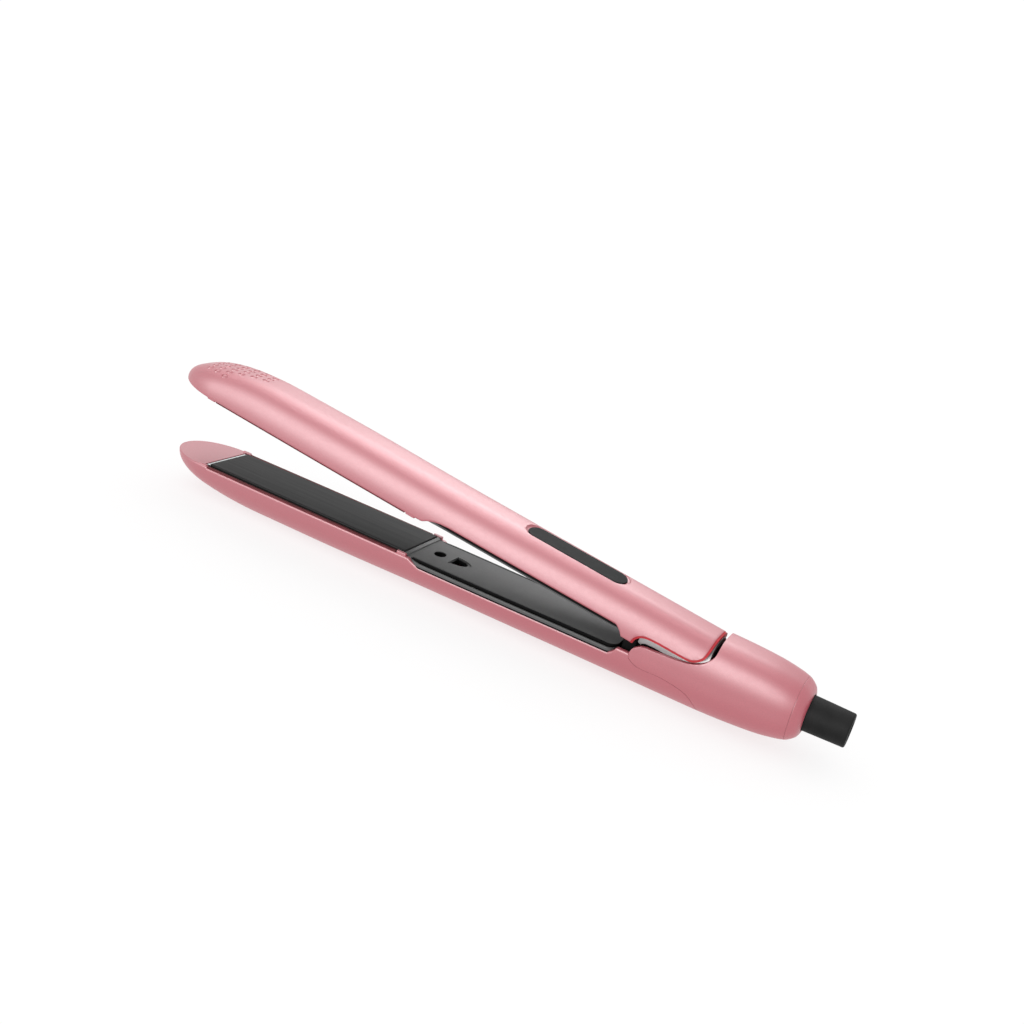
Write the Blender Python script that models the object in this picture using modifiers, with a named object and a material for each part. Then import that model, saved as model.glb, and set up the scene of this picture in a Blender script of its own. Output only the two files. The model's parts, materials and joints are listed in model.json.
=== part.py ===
"""Hair straightener: two sprung arms, floating heater plates, hinge housing and cord swivel.

Metres, +Z up. X runs from the noses (-X) to the cord swivel (+X), Y runs across the arms.
The lower arm lies on its back on the table. The upper arm is modelled closed, as the mirror
of the lower one about the middle plane, and an empty on the hinge axis swings it open.
"""

import math

import bmesh
import bpy
from mathutils import Matrix, Vector

# Driving sizes along the object.
NOSE_X = -0.1457
PLATE_FRONT_X = -0.1206
PLATE_LENGTH = 0.100
PLATE_REAR_X = PLATE_FRONT_X + PLATE_LENGTH
COVER_REAR_X = 0.0672
HINGE_X = 0.092
HOUSING_REAR_X = 0.127
CAP_REAR_X = 0.131
SLEEVE_REAR_X = 0.1445

# Driving sizes across the object.
RIM_HEIGHT = 0.01445         # table to the parting plane of the lower arm
RIM_GAP = 0.0015             # between the two parting planes when the arms are closed
MID_Z = RIM_HEIGHT + RIM_GAP / 2
OPEN_ANGLE = math.radians(7.3)
WALL = 0.0015
FIT = 0.0003                 # gap between pieces that touch
PLATE_WIDTH = 0.0214
PLATE_PROUD = 0.0006
FLOAT_TRAVEL = 0.0005

# Barrel shape shared by the arms and the housing: (x, value) stations.
HALF_WIDTHS = ((-0.121, 0.0134), (-0.006, 0.0127), (0.094, 0.0114), (0.104, 0.0116),
               (0.117, 0.0113), (0.125, 0.0107), (0.1285, 0.0094), (0.131, 0.0072))
DEPTHS = ((-0.066, RIM_HEIGHT), (-0.006, 0.0136), (0.094, 0.0132), (0.104, 0.0128),
          (0.117, 0.0118), (0.125, 0.0103), (0.1285, 0.0089), (0.131, 0.0066))
NOSE_WIDTH_LENGTH = 0.022    # the nose rounds off over this length in plan
NOSE_DEPTH_LENGTH = 0.050    # and over this length in profile
ROUNDNESS = 2.38             # superellipse exponent of the section
FLAT_SHARE = 0.984           # the back of each arm is planed flat at this share of its depth
RIM_EDGE = 0.0008            # rounding of the parting edge
SECTION_STEPS = 20

LOWER = -1
UPPER = 1

PART_COLLECTION = "flat_iron"
CUTTER_COLLECTION = "cutters"

# Colour, roughness and metallic value of each material.
FINISHES = {
    "rose_metallic": ((0.78, 0.36, 0.40), 0.38, 0.55),
    "plate_ceramic": ((0.06, 0.06, 0.06), 0.42, 0.20),
    "cover_grey": ((0.14, 0.14, 0.14), 0.50, 0.0),
    "liner_silver": ((0.55, 0.55, 0.55), 0.35, 0.60),
    "window_dark": ((0.05, 0.05, 0.05), 0.35, 0.0),
    "sleeve_black": ((0.025, 0.025, 0.025), 0.55, 0.0),
    "aluminium": ((0.75, 0.76, 0.77), 0.35, 1.0),
    "steel": ((0.60, 0.60, 0.62), 0.30, 1.0),
    "brass": ((0.75, 0.58, 0.30), 0.35, 1.0),
    "heater_white": ((0.80, 0.78, 0.72), 0.60, 0.0),
    "insulator_amber": ((0.60, 0.36, 0.12), 0.40, 0.0),
    "silicone": ((0.55, 0.12, 0.08), 0.60, 0.0),
    "board_green": ((0.05, 0.25, 0.12), 0.45, 0.0),
    "component_black": ((0.03, 0.03, 0.03), 0.45, 0.0),
    "wire_white": ((0.80, 0.80, 0.78), 0.55, 0.0),
    "wire_red": ((0.55, 0.05, 0.05), 0.55, 0.0),
}


# ---------------------------------------------------------------- scene helpers

def clear_scene():
    """Remove whatever objects the file starts with."""
    for existing in list(bpy.data.objects):
        bpy.data.objects.remove(existing, do_unlink=True)


def get_collection(name):
    """The named collection, made and linked to the scene on first use."""
    collection = bpy.data.collections.get(name)
    if collection is None:
        collection = bpy.data.collections.new(name)
        bpy.context.scene.collection.children.link(collection)
    return collection


def get_material(name):
    """A Principled material with the finish listed for its name."""
    material = bpy.data.materials.get(name)
    if material is None:
        colour, roughness, metallic = FINISHES[name]
        material = bpy.data.materials.new(name)
        material.use_nodes = True
        shader = material.node_tree.nodes["Principled BSDF"]
        shader.inputs["Base Color"].default_value = (*colour, 1.0)
        shader.inputs["Roughness"].default_value = roughness
        shader.inputs["Metallic"].default_value = metallic
    return material


def new_object(name, mesh, collection_name=CUTTER_COLLECTION):
    """An object for the mesh; it counts as a cutter until finish() makes it a part."""
    piece = bpy.data.objects.new(name, mesh)
    get_collection(collection_name).objects.link(piece)
    piece.hide_render = True
    piece.display_type = "WIRE"
    return piece


def finish(piece, name, finish_name, hinge=None, sharp=35.0):
    """Make a shape into a part: name, material, collection, shading and the hinge it rides on."""
    piece.name = name
    piece.data.name = name
    get_collection(CUTTER_COLLECTION).objects.unlink(piece)
    get_collection(PART_COLLECTION).objects.link(piece)
    piece.hide_render = False
    piece.display_type = "TEXTURED"
    piece.data.materials.clear()
    piece.data.materials.append(get_material(finish_name))
    piece.data.shade_smooth()
    piece.data.set_sharp_from_angle(angle=math.radians(sharp))
    hang(piece, hinge)
    return piece


def joint_empty(name, location, rotation=(0.0, 0.0, 0.0)):
    """Empty on the axis of a joint, for the pieces that move about it."""
    empty = bpy.data.objects.new(name, None)
    get_collection(PART_COLLECTION).objects.link(empty)
    empty.location = location
    empty.rotation_euler = rotation
    return empty


def hang(piece, joint):
    """Parent a shape made in closed coordinates to the empty of the joint it moves about."""
    if joint is not None:
        piece.parent = joint
        piece.matrix_parent_inverse = Matrix.Translation(-joint.location)


def mesh_from(bm, name):
    """Turn a bmesh into a mesh whose faces point outwards."""
    bmesh.ops.recalc_face_normals(bm, faces=bm.faces[:])
    mesh = bpy.data.meshes.new(name)
    bm.to_mesh(mesh)
    bm.free()
    return mesh


def settle(piece):
    """Bake the modifiers of a shape into its mesh."""
    bpy.context.view_layer.update()
    evaluated = piece.evaluated_get(bpy.context.evaluated_depsgraph_get())
    baked = bpy.data.meshes.new_from_object(evaluated)
    piece.modifiers.clear()
    piece.data = baked
    return piece


def combine(piece, other, operation):
    """Boolean of two shapes; the second one is used up."""
    modifier = piece.modifiers.new(operation.lower(), "BOOLEAN")
    modifier.operation = operation
    modifier.solver = "EXACT"
    modifier.object = other
    settle(piece)
    bpy.data.objects.remove(other, do_unlink=True)
    return piece


def cut(piece, *cutters):
    """Take the cutters out of the piece."""
    for cutter in cutters:
        combine(piece, cutter, "DIFFERENCE")
    return piece


def join(piece, *others):
    """Fuse the other shapes onto the piece."""
    for other in others:
        combine(piece, other, "UNION")
    return piece


def bevel(piece, width, segments=2, angle=40.0):
    """Round the sharp edges of a shape."""
    modifier = piece.modifiers.new("bevel", "BEVEL")
    modifier.width = width
    modifier.segments = segments
    modifier.limit_method = "ANGLE"
    modifier.angle_limit = math.radians(angle)
    return settle(piece)


# ---------------------------------------------------------------- basic shapes

def box(low, high):
    """A box between two corners."""
    low = Vector(low)
    high = Vector(high)
    size = high - low
    placed = Matrix.Translation((low + high) / 2) @ Matrix.Diagonal((*size, 1.0))
    bm = bmesh.new()
    bmesh.ops.create_cube(bm, size=1.0, matrix=placed)
    return new_object("box", mesh_from(bm, "box"))


def rod(start, end, radius, sides=24, end_radius=None):
    """A cylinder or cone between two points."""
    start = Vector(start)
    end = Vector(end)
    along_axis = end - start
    turned = along_axis.to_track_quat("Z", "Y").to_matrix().to_4x4()
    bm = bmesh.new()
    bmesh.ops.create_cone(bm, cap_ends=True, segments=sides, radius1=radius,
                          radius2=radius if end_radius is None else end_radius,
                          depth=along_axis.length,
                          matrix=Matrix.Translation((start + end) / 2) @ turned)
    return new_object("rod", mesh_from(bm, "rod"))


def turned_about_x(profile, z_centre, steps=32):
    """A solid of revolution about a line along X, from a closed (x, radius) profile."""
    mesh = bpy.data.meshes.new("profile")
    corners = [(radius, 0.0, -x) for x, radius in profile]
    edges = [(i, (i + 1) % len(corners)) for i in range(len(corners))]
    mesh.from_pydata(corners, edges, [])
    piece = new_object("turned", mesh)
    screw = piece.modifiers.new("screw", "SCREW")
    screw.axis = "Z"
    screw.steps = steps
    screw.render_steps = steps
    screw.use_merge_vertices = True
    screw.merge_threshold = 0.00001
    settle(piece)
    piece.data.transform(Matrix.Translation((0.0, 0.0, z_centre)) @ Matrix.Rotation(-math.pi / 2, 4, "Y"))
    bm = bmesh.new()
    bm.from_mesh(piece.data)
    piece.data = mesh_from(bm, "turned")
    return piece


def outline_solid(points, low, high, upright=False):
    """A flat outline made solid between two levels.

    Flat outlines are (x, y) points raised along Z. Upright ones are (x, z) points that run
    across the object along Y.
    """
    curve = bpy.data.curves.new("outline", "CURVE")
    curve.dimensions = "2D"
    curve.fill_mode = "BOTH"
    curve.extrude = (high - low) / 2
    spline = curve.splines.new("POLY")
    spline.points.add(len(points) - 1)
    for spline_point, (first, second) in zip(spline.points, points):
        spline_point.co = (first, second, 0.0, 1.0)
    spline.use_cyclic_u = True
    guide = new_object("outline", curve)
    bpy.context.view_layer.update()
    evaluated = guide.evaluated_get(bpy.context.evaluated_depsgraph_get())
    mesh = bpy.data.meshes.new_from_object(evaluated)
    bpy.data.objects.remove(guide, do_unlink=True)
    middle = (low + high) / 2
    if upright:
        mesh.transform(Matrix.Translation((0.0, middle, 0.0)) @ Matrix.Rotation(math.pi / 2, 4, "X"))
    else:
        mesh.transform(Matrix.Translation((0.0, 0.0, middle)))
    bm = bmesh.new()
    bm.from_mesh(mesh)
    bmesh.ops.remove_doubles(bm, verts=bm.verts[:], dist=0.000001)
    return new_object("outline", mesh_from(bm, "outline"))


def wire(points, diameter):
    """A round wire along a polyline, as a closed mesh."""
    curve = bpy.data.curves.new("wire", "CURVE")
    curve.dimensions = "3D"
    curve.bevel_depth = diameter / 2
    curve.bevel_resolution = 1
    curve.use_fill_caps = True
    spline = curve.splines.new("POLY")
    spline.points.add(len(points) - 1)
    for spline_point, place in zip(spline.points, points):
        spline_point.co = (*place, 1.0)
    guide = new_object("wire", curve)
    bpy.context.view_layer.update()
    evaluated = guide.evaluated_get(bpy.context.evaluated_depsgraph_get())
    mesh = bpy.data.meshes.new_from_object(evaluated)
    bpy.data.objects.remove(guide, do_unlink=True)
    bm = bmesh.new()
    bm.from_mesh(mesh)
    bmesh.ops.remove_doubles(bm, verts=bm.verts[:], dist=0.000001)
    return new_object("wire", mesh_from(bm, "wire"))


def loft(rings):
    """A closed solid through rings that all have the same number of points."""
    bm = bmesh.new()
    rows = [[bm.verts.new(place) for place in ring] for ring in rings]
    count = len(rows[0])
    for row, following in zip(rows, rows[1:]):
        for i in range(count):
            j = (i + 1) % count
            bm.faces.new((row[i], row[j], following[j], following[i]))
    bm.faces.new(rows[0])
    bm.faces.new(rows[-1])
    return new_object("loft", mesh_from(bm, "loft"))


# ---------------------------------------------------------------- the barrel shape

def at_station(stations, x):
    """Value at x, straight between its stations and level beyond them."""
    if x <= stations[0][0]:
        return stations[0][1]
    for (x_before, before), (x_after, after) in zip(stations, stations[1:]):
        if x <= x_after:
            return before + (after - before) * (x - x_before) / (x_after - x_before)
    return stations[-1][1]


def nose_rounding(x, length):
    """Share of the full size at x: an ellipse that closes at the tip of the nose."""
    inward = min(1.0, max(0.0, (x - NOSE_X) / length))
    return math.sqrt(1.0 - (1.0 - inward) ** 2)


def half_width(x):
    """Half the width of the barrel at x."""
    return at_station(HALF_WIDTHS, x) * nose_rounding(x, NOSE_WIDTH_LENGTH)


def depth(x):
    """Depth of one arm at x, from its parting plane to its back."""
    return at_station(DEPTHS, x) * nose_rounding(x, NOSE_DEPTH_LENGTH)


def section(x, inset=0.0):
    """(y, depth) points round the back of one arm at x, both rims left out."""
    width = half_width(x) - inset
    back = depth(x) - inset
    points = []
    for step in range(1, SECTION_STEPS):
        turn = math.pi * step / SECTION_STEPS
        y = width * math.copysign(abs(math.cos(turn)) ** (2 / ROUNDNESS), math.cos(turn))
        down = back / FLAT_SHARE * math.sin(turn) ** (2 / ROUNDNESS)
        points.append((y, min(down, back)))
    return points


def height(side, down):
    """World height of a level that lies this far inside an arm's parting plane."""
    return MID_Z + side * (RIM_GAP / 2 + down)


def arm_ring(x, side, inset=0.0, top=0.0, edge=0.0):
    """Ring of one arm at x: the flat parting face, its edges and the rounded back."""
    share = nose_rounding(x, NOSE_WIDTH_LENGTH)
    width = half_width(x) - inset
    shoulder = top + 1.5 * RIM_EDGE * share
    rim = [(width - edge * share, top), (width, shoulder)]
    back = [(y, max(down, shoulder)) for y, down in section(x, inset)]
    outline = rim + back + [(-y, down) for y, down in reversed(rim)]
    return [(x, y, height(side, down)) for y, down in outline]


def full_ring(x, inset=0.0):
    """Ring of the whole closed barrel at x."""
    half = section(x, inset)
    width = half_width(x) - inset
    lower_half = [(width, MID_Z)] + [(y, height(LOWER, down)) for y, down in half]
    upper_half = [(-width, MID_Z)] + [(y, height(UPPER, down)) for y, down in reversed(half)]
    return [(x, y, z) for y, z in lower_half + upper_half]


def smooth_line(points, steps=4):
    """A smooth line through the points, both ends included."""
    padded = [points[0], *points, points[-1]]
    line = []
    for before, start, end, after in zip(padded, padded[1:], padded[2:], padded[3:]):
        for step in range(steps):
            t = step / steps
            line.append(tuple(
                0.5 * (2 * b + (c - a) * t + (2 * a - 5 * b + 4 * c - d) * t ** 2
                       + (3 * b - a - 3 * c + d) * t ** 3)
                for a, b, c, d in zip(before, start, end, after)))
    line.append(points[-1])
    return line


def mirrored_outline(half):
    """Close an outline given on the +Y side, listed from front to rear, across y = 0."""
    return list(half) + [(x, -y) for x, y in reversed(half) if y > 0]


# Side views of the edges where the shells meet round the hinge, as (x, height over MID_Z).
EAR_TOP_LINE = ((0.1000, 0.0170), (0.1000, 0.0105), (0.0985, 0.0077), (0.0957, 0.0056),
                (0.0908, 0.0042), (0.0820, 0.0036), (0.0765, 0.0033), (0.0736, 0.0017),
                (0.0726, -0.0005))
SEAM_LINE = ((0.0726, -0.0005), (0.0733, -0.0026), (0.0770, -0.0043), (0.0860, -0.0044),
             (0.0940, -0.0062), (0.0975, -0.0095), (0.0990, -0.0130), (0.0994, -0.0170))
TAIL_LINE = ((0.0724, 0.0005), (0.0732, 0.0028), (0.0755, 0.0044), (0.0800, 0.0049),
             (0.0873, 0.0050), (0.0922, 0.0053), (0.0953, 0.0073), (0.0964, 0.0102),
             (0.0966, 0.0170))


def side_points(line):
    """A smooth side-view line in world (x, z)."""
    return [(x, MID_Z + up) for x, up in smooth_line(line)]


# ---------------------------------------------------------------- arms

NOSE_ANGLES = (6, 14, 24, 36, 50, 65, 80)
BODY_STATIONS = (-0.1185, -0.107, -0.0957, -0.066, -0.036, -0.006, 0.020, 0.045, 0.070)
CAVITY_STATIONS = (-0.1385, -0.1350, -0.1305, -0.1260)
PLATE_WINDOW_X = PLATE_FRONT_X - 0.0022
BUMPER_LENGTH = 0.0042
BUMPER_WIDTH = 0.0012
BUMPER_HEIGHT = 0.0005
RIM_STEP_FRONT_X = -0.0180
RIM_STEP_DEPTH = 0.0030


def shell_rings(side, rear_x):
    """Outer skin of an arm, from the tip of the nose to rear_x."""
    nose = [NOSE_X + NOSE_WIDTH_LENGTH * (1.0 - math.cos(math.radians(a))) for a in NOSE_ANGLES]
    stations = nose + list(BODY_STATIONS) + [rear_x]
    return [arm_ring(x, side, edge=RIM_EDGE) for x in stations]


def cavity_rings(side, rear_x):
    """Inner hollow of an arm: roofed in the nose, open on top behind it."""
    roofed = [arm_ring(x, side, inset=WALL, top=WALL) for x in CAVITY_STATIONS]
    roofed.append(arm_ring(PLATE_WINDOW_X - 0.0001, side, inset=WALL, top=WALL))
    open_stations = [PLATE_WINDOW_X, *BODY_STATIONS, rear_x]
    opened = [arm_ring(x, side, inset=WALL, top=-0.004) for x in open_stations]
    return roofed + opened


def bumper(side, x_start, y_sign):
    """A small pad on the rim that keeps the arms apart beside the plates."""
    centre = y_sign * (half_width(x_start) - WALL + BUMPER_WIDTH / 2 + 0.0001)
    half = BUMPER_WIDTH / 2
    levels = sorted((height(side, -BUMPER_HEIGHT), height(side, 0.0009)))
    pad = box((x_start, centre - half, levels[0]), (x_start + BUMPER_LENGTH, centre + half, levels[1]))
    return pad


def rim_step(side):
    """Cutter that lowers the rim beside the inner cover."""
    depth_line = ((RIM_STEP_FRONT_X - 0.0008, -0.002), (RIM_STEP_FRONT_X, 0.0006),
                  (RIM_STEP_FRONT_X + 0.0025, 0.0022), (RIM_STEP_FRONT_X + 0.0060, RIM_STEP_DEPTH),
                  (COVER_REAR_X - 0.0008, RIM_STEP_DEPTH), (COVER_REAR_X + 0.0004, 0.0022),
                  (COVER_REAR_X + 0.0008, -0.002))
    points = [(x, height(side, down)) for x, down in depth_line]
    return outline_solid(points, -0.02, 0.02, upright=True)


def arm_shell(side, rear_x):
    """Hollow shell of one arm with its bumpers and the step for the inner cover."""
    shell = loft(shell_rings(side, rear_x))
    cut(shell, loft(cavity_rings(side, rear_x + 0.005)), rim_step(side))
    for x_start in (PLATE_FRONT_X - 0.0040, PLATE_REAR_X - 0.0016):
        for y_sign in (-1, 1):
            join(shell, bumper(side, x_start, y_sign))
    return shell


def lower_shell():
    """Lower arm shell, ending at the S-shaped seam of the hinge housing."""
    shell = arm_shell(LOWER, 0.1005)
    seam = [(x - FIT, z - FIT) for x, z in side_points(SEAM_LINE)]
    region = seam + [(0.112, -0.004), (0.112, 0.030), (seam[0][0], 0.030)]
    return cut(shell, outline_solid(region, -0.02, 0.02, upright=True))


def upper_shell(window_slot):
    """Upper arm shell, with the control window slot and the curved tail."""
    shell = arm_shell(UPPER, 0.0975)
    tail = side_points(TAIL_LINE)
    region = tail + [(tail[-1][0], 0.040), (0.110, 0.040), (0.110, 0.005), (tail[0][0], 0.005)]
    return cut(shell, window_slot, outline_solid(region, -0.02, 0.02, upright=True))


# ---------------------------------------------------------------- inner covers

COVER_FRONT_X = PLATE_REAR_X + 0.0005
COVER_TOP = 0.0005
COVER_BOTTOM = RIM_STEP_DEPTH - FIT
LIP_TOP = 0.0012
GROOVE_BOTTOM = 0.0022
GROOVE_WIDTH = 0.0009
PIN_X = -0.0116
PIN_RADIUS = 0.0020
LUG_FRONT_X = -0.0056
LUG_REAR_X = 0.0018
LUG_HALF_WIDTH = 0.0034
LUG_DEPTH = 0.0016


def cover_ring(x, side, squeeze):
    """Section of the cover: raised platform, groove and outer lip. squeeze narrows it."""
    platform = half_width(x) - WALL - FIT - squeeze
    lip_inner = platform + GROOVE_WIDTH
    lip_outer = half_width(x) - 0.00005 - squeeze
    half = [(platform, COVER_TOP), (platform, GROOVE_BOTTOM), (lip_inner, GROOVE_BOTTOM),
            (lip_inner, LIP_TOP), (lip_outer, LIP_TOP), (lip_outer, COVER_BOTTOM)]
    outline = half + [(-y, down) for y, down in reversed(half)]
    return [(x, y, height(side, down)) for y, down in outline]


def cover_front(side):
    """Sloped front end of the cover, between the rims beside the plate."""
    width = half_width(COVER_FRONT_X) - WALL - FIT
    slope = ((COVER_FRONT_X, COVER_TOP + 0.0010), (COVER_FRONT_X + 0.0016, COVER_TOP),
             (RIM_STEP_FRONT_X + 0.0066, COVER_TOP), (RIM_STEP_FRONT_X + 0.0066, COVER_BOTTOM),
             (COVER_FRONT_X, COVER_BOTTOM))
    points = [(x, height(side, down)) for x, down in slope]
    return outline_solid(points, -width, width, upright=True)


def cover_body(side):
    """Long lipped part of the cover with its rounded rear end."""
    front_x = RIM_STEP_FRONT_X + 0.0063
    straight = (front_x, 0.010, 0.040, COVER_REAR_X - 0.0032)
    rings = [cover_ring(x, side, 0.0) for x in straight]
    for turn in (30, 60, 85):
        x = COVER_REAR_X - 0.0032 + 0.0030 * math.sin(math.radians(turn))
        rings.append(cover_ring(x, side, 0.0030 * (1.0 - math.cos(math.radians(turn)))))
    return loft(rings)


def lug_outline(grow=0.0):
    """Shield-shaped outline of the locating lug and its pocket."""
    front = LUG_FRONT_X - grow
    half = [(front, LUG_HALF_WIDTH + grow)]
    for step in range(1, 6):
        t = step / 6
        half.append((front + (LUG_REAR_X + grow - front) * math.sin(t * math.pi / 2),
                     (LUG_HALF_WIDTH + grow) * (1.0 - t ** 2)))
    half.append((LUG_REAR_X + grow, 0.0))
    return mirrored_outline(half)


def between(side, first, second):
    """The two world heights of a layer, lowest first."""
    return sorted((height(side, first), height(side, second)))


def lower_cover():
    """Lower inner cover, with the round locating hole and the shield-shaped pocket."""
    cover = join(cover_body(LOWER), cover_front(LOWER))
    hole = rod((PIN_X, 0.0, height(LOWER, -0.002)), (PIN_X, 0.0, height(LOWER, 0.005)), PIN_RADIUS + 0.0006)
    low, high = between(LOWER, -0.002, COVER_TOP + LUG_DEPTH)
    return cut(cover, hole, outline_solid(lug_outline(0.0003), low, high))


def upper_cover():
    """Upper inner cover, with the locating pin and the shield-shaped lug."""
    cover = join(cover_body(UPPER), cover_front(UPPER))
    pin = rod((PIN_X, 0.0, height(UPPER, 0.001)), (PIN_X, 0.0, height(UPPER, -0.0026)), PIN_RADIUS)
    low, high = between(UPPER, 0.001, -0.0026)
    lug = outline_solid(lug_outline(-0.0006), low, high)
    return join(cover, pin, lug)


# ---------------------------------------------------------------- heater stacks

STACK_HALF_WIDTH = 0.0096
PLATE_THICKNESS = 0.0024
CARRIER_TOP = PLATE_THICKNESS - PLATE_PROUD + FIT
CARRIER_THICKNESS = 0.0012
HEATER_TOP = CARRIER_TOP + CARRIER_THICKNESS + FIT
HEATER_THICKNESS = 0.0018
SHEET_TOP = HEATER_TOP + HEATER_THICKNESS + FIT
SHEET_THICKNESS = 0.0004
CUSHION_TOP = SHEET_TOP + SHEET_THICKNESS + FLOAT_TRAVEL + FIT
CUSHION_THICKNESS = 0.0032
PLATE_MIDDLE_X = (PLATE_FRONT_X + PLATE_REAR_X) / 2


def layer(side, x_low, x_high, half, top, thickness):
    """A flat layer of the stack: from x_low to x_high, half wide to each side."""
    low, high = between(side, top, top + thickness)
    return box((x_low, -half, low), (x_high, half, high))


def heater_plate(side):
    """Ceramic-coated plate that grips the hair, with eased edges."""
    plate = layer(side, PLATE_FRONT_X, PLATE_REAR_X, PLATE_WIDTH / 2, -PLATE_PROUD, PLATE_THICKNESS)
    return bevel(plate, 0.0005)


def plate_carrier(side):
    """Aluminium tray under the plate; its front lip shows as a bright strip."""
    tray = layer(side, PLATE_FRONT_X - 0.0017, PLATE_REAR_X, STACK_HALF_WIDTH, CARRIER_TOP, CARRIER_THICKNESS)
    lip = layer(side, PLATE_FRONT_X - 0.0017, PLATE_FRONT_X - FIT, PLATE_WIDTH / 2, 0.0001,
                CARRIER_TOP + CARRIER_THICKNESS - 0.0001)
    return join(tray, lip)


def ptc_heater(side):
    """Ceramic heating bar clamped under the tray."""
    return bevel(layer(side, PLATE_MIDDLE_X - 0.034, PLATE_MIDDLE_X + 0.034, 0.0060,
                       HEATER_TOP, HEATER_THICKNESS), 0.0003, segments=1)


def insulator_sheet(side):
    """Thin insulating sheet behind the heating bar."""
    return layer(side, PLATE_MIDDLE_X - 0.040, PLATE_MIDDLE_X + 0.040, 0.0075, SHEET_TOP, SHEET_THICKNESS)


def cushion(side, x_centre):
    """Soft block that lets the heater stack float."""
    block = layer(side, x_centre - 0.006, x_centre + 0.006, 0.0050, CUSHION_TOP, CUSHION_THICKNESS)
    return bevel(block, 0.0008)


def heater_stack(side, label, hinge):
    """Plate, tray, heating bar and sheet of one arm, and the cushions behind them."""
    finish(heater_plate(side), f"{label}_heater_plate", "plate_ceramic", hinge)
    finish(plate_carrier(side), f"{label}_plate_carrier", "aluminium", hinge)
    finish(ptc_heater(side), f"{label}_ptc_heater", "heater_white", hinge)
    finish(insulator_sheet(side), f"{label}_insulator_sheet", "insulator_amber", hinge)
    for place, x_centre in (("front", PLATE_MIDDLE_X - 0.030), ("rear", PLATE_MIDDLE_X + 0.030)):
        finish(cushion(side, x_centre), f"{label}_cushion_{place}", "silicone", hinge)


def heater_wire(side, y):
    """Insulated lead from the heating bar back towards the hinge."""
    level = height(side, HEATER_TOP + HEATER_THICKNESS / 2 + FIT)
    deep = height(side, 0.0068)
    rear_x = 0.005 if side == LOWER else 0.072
    points = [(PLATE_MIDDLE_X + 0.0355, y * 0.6, level), (PLATE_MIDDLE_X + 0.0425, y * 0.6, level),
              (PLATE_REAR_X - 0.002, y, deep), (PLATE_REAR_X + 0.006, y, deep)]
    return wire(smooth_line(points, 3) + [(rear_x, y, deep)], 0.0014)


# ---------------------------------------------------------------- hinge and housing

BLOCK_INSET = 0.0020
PIN_ROD_RADIUS = 0.0018
BUSH_RADIUS = 0.0036
KNUCKLE_RADIUS = 0.0062
SPRING_RADIUS = 0.0035
SPRING_WIRE = 0.0009
SPRING_TURNS = 4
BARREL_STATIONS = (0.0700, 0.0820, 0.0940, 0.0990, 0.1040, 0.1100, 0.1170, 0.1210)


def hinge_housing():
    """Rear housing: a barrel with two ears that reach forward past the hinge pin."""
    outer = loft([full_ring(x) for x in (*BARREL_STATIONS, 0.1250, HOUSING_REAR_X)])
    inner = loft([full_ring(x, WALL) for x in (0.0650, *BARREL_STATIONS, HOUSING_REAR_X + 0.003)])
    cut(outer, inner)
    front_edge = side_points(EAR_TOP_LINE) + side_points(SEAM_LINE)[1:]
    region = front_edge + [(0.130, MID_Z - 0.0170), (0.130, MID_Z + 0.0170)]
    return combine(outer, outline_solid(region, -0.02, 0.02, upright=True), "INTERSECT")


def hinge_block_outline():
    """Side view of the block: shoulders under the tail and a round knuckle on the pin."""
    points = [(0.0752, 0.0125), (0.0752, 0.0015), (0.0790, -0.0005)]
    for turn in range(210, 361, 15):
        angle = math.radians(turn)
        points.append((HINGE_X + KNUCKLE_RADIUS * math.cos(angle), KNUCKLE_RADIUS * math.sin(angle)))
    points += [(0.0976, 0.0060), (0.0966, 0.0125)]
    return [(x, MID_Z + up) for x, up in points]


def hinge_block():
    """Silver-grey block in the tail of the upper arm, forked for the spring."""
    block = loft([full_ring(x, BLOCK_INSET) for x in (0.0700, 0.0820, 0.0940, 0.1000)])
    combine(block, outline_solid(hinge_block_outline(), -0.02, 0.02, upright=True), "INTERSECT")
    fork = box((0.0786, -0.0042, MID_Z - 0.009), (0.1010, 0.0042, MID_Z + 0.0056))
    bore = rod((HINGE_X, -0.015, MID_Z), (HINGE_X, 0.015, MID_Z), PIN_ROD_RADIUS + FIT)
    cut(block, fork, bore)
    for y_sign in (-1, 1):
        seat = rod((HINGE_X, y_sign * 0.0072, MID_Z), (HINGE_X, y_sign * 0.0150, MID_Z), BUSH_RADIUS + FIT)
        cut(block, seat)
    return block


def hinge_bush(y_sign):
    """Ring that centres the pin in the block."""
    ring = rod((HINGE_X, y_sign * 0.0075, MID_Z), (HINGE_X, y_sign * 0.0094, MID_Z), BUSH_RADIUS)
    bore = rod((HINGE_X, y_sign * 0.0070, MID_Z), (HINGE_X, y_sign * 0.0100, MID_Z), PIN_ROD_RADIUS + FIT)
    return cut(ring, bore)


def torsion_spring():
    """Coil round the hinge pin with two legs that push the arms apart."""
    steps = 12
    points = [(0.0830, -0.0032, MID_Z + 0.0028)]
    for step in range(SPRING_TURNS * steps + steps // 2 + 1):
        angle = math.pi / 2 + 2 * math.pi * step / steps
        across = -0.0032 + 0.0064 * step / (SPRING_TURNS * steps + steps // 2)
        points.append((HINGE_X + SPRING_RADIUS * math.cos(angle), across,
                       MID_Z + SPRING_RADIUS * math.sin(angle)))
    points.append((0.0830, 0.0032, MID_Z - SPRING_RADIUS))
    return wire(points, SPRING_WIRE)


def wire_boot():
    """Black block between the arms in front of the hinge, which carries the wires across."""
    boot = box((0.0684, -0.0083, MID_Z - 0.0050), (0.0737, 0.0083, MID_Z + 0.0046))
    channel = box((0.0670, -0.0040, MID_Z - 0.0030), (0.0750, 0.0040, MID_Z + 0.0020))
    return cut(bevel(boot, 0.0007), channel)


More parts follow.
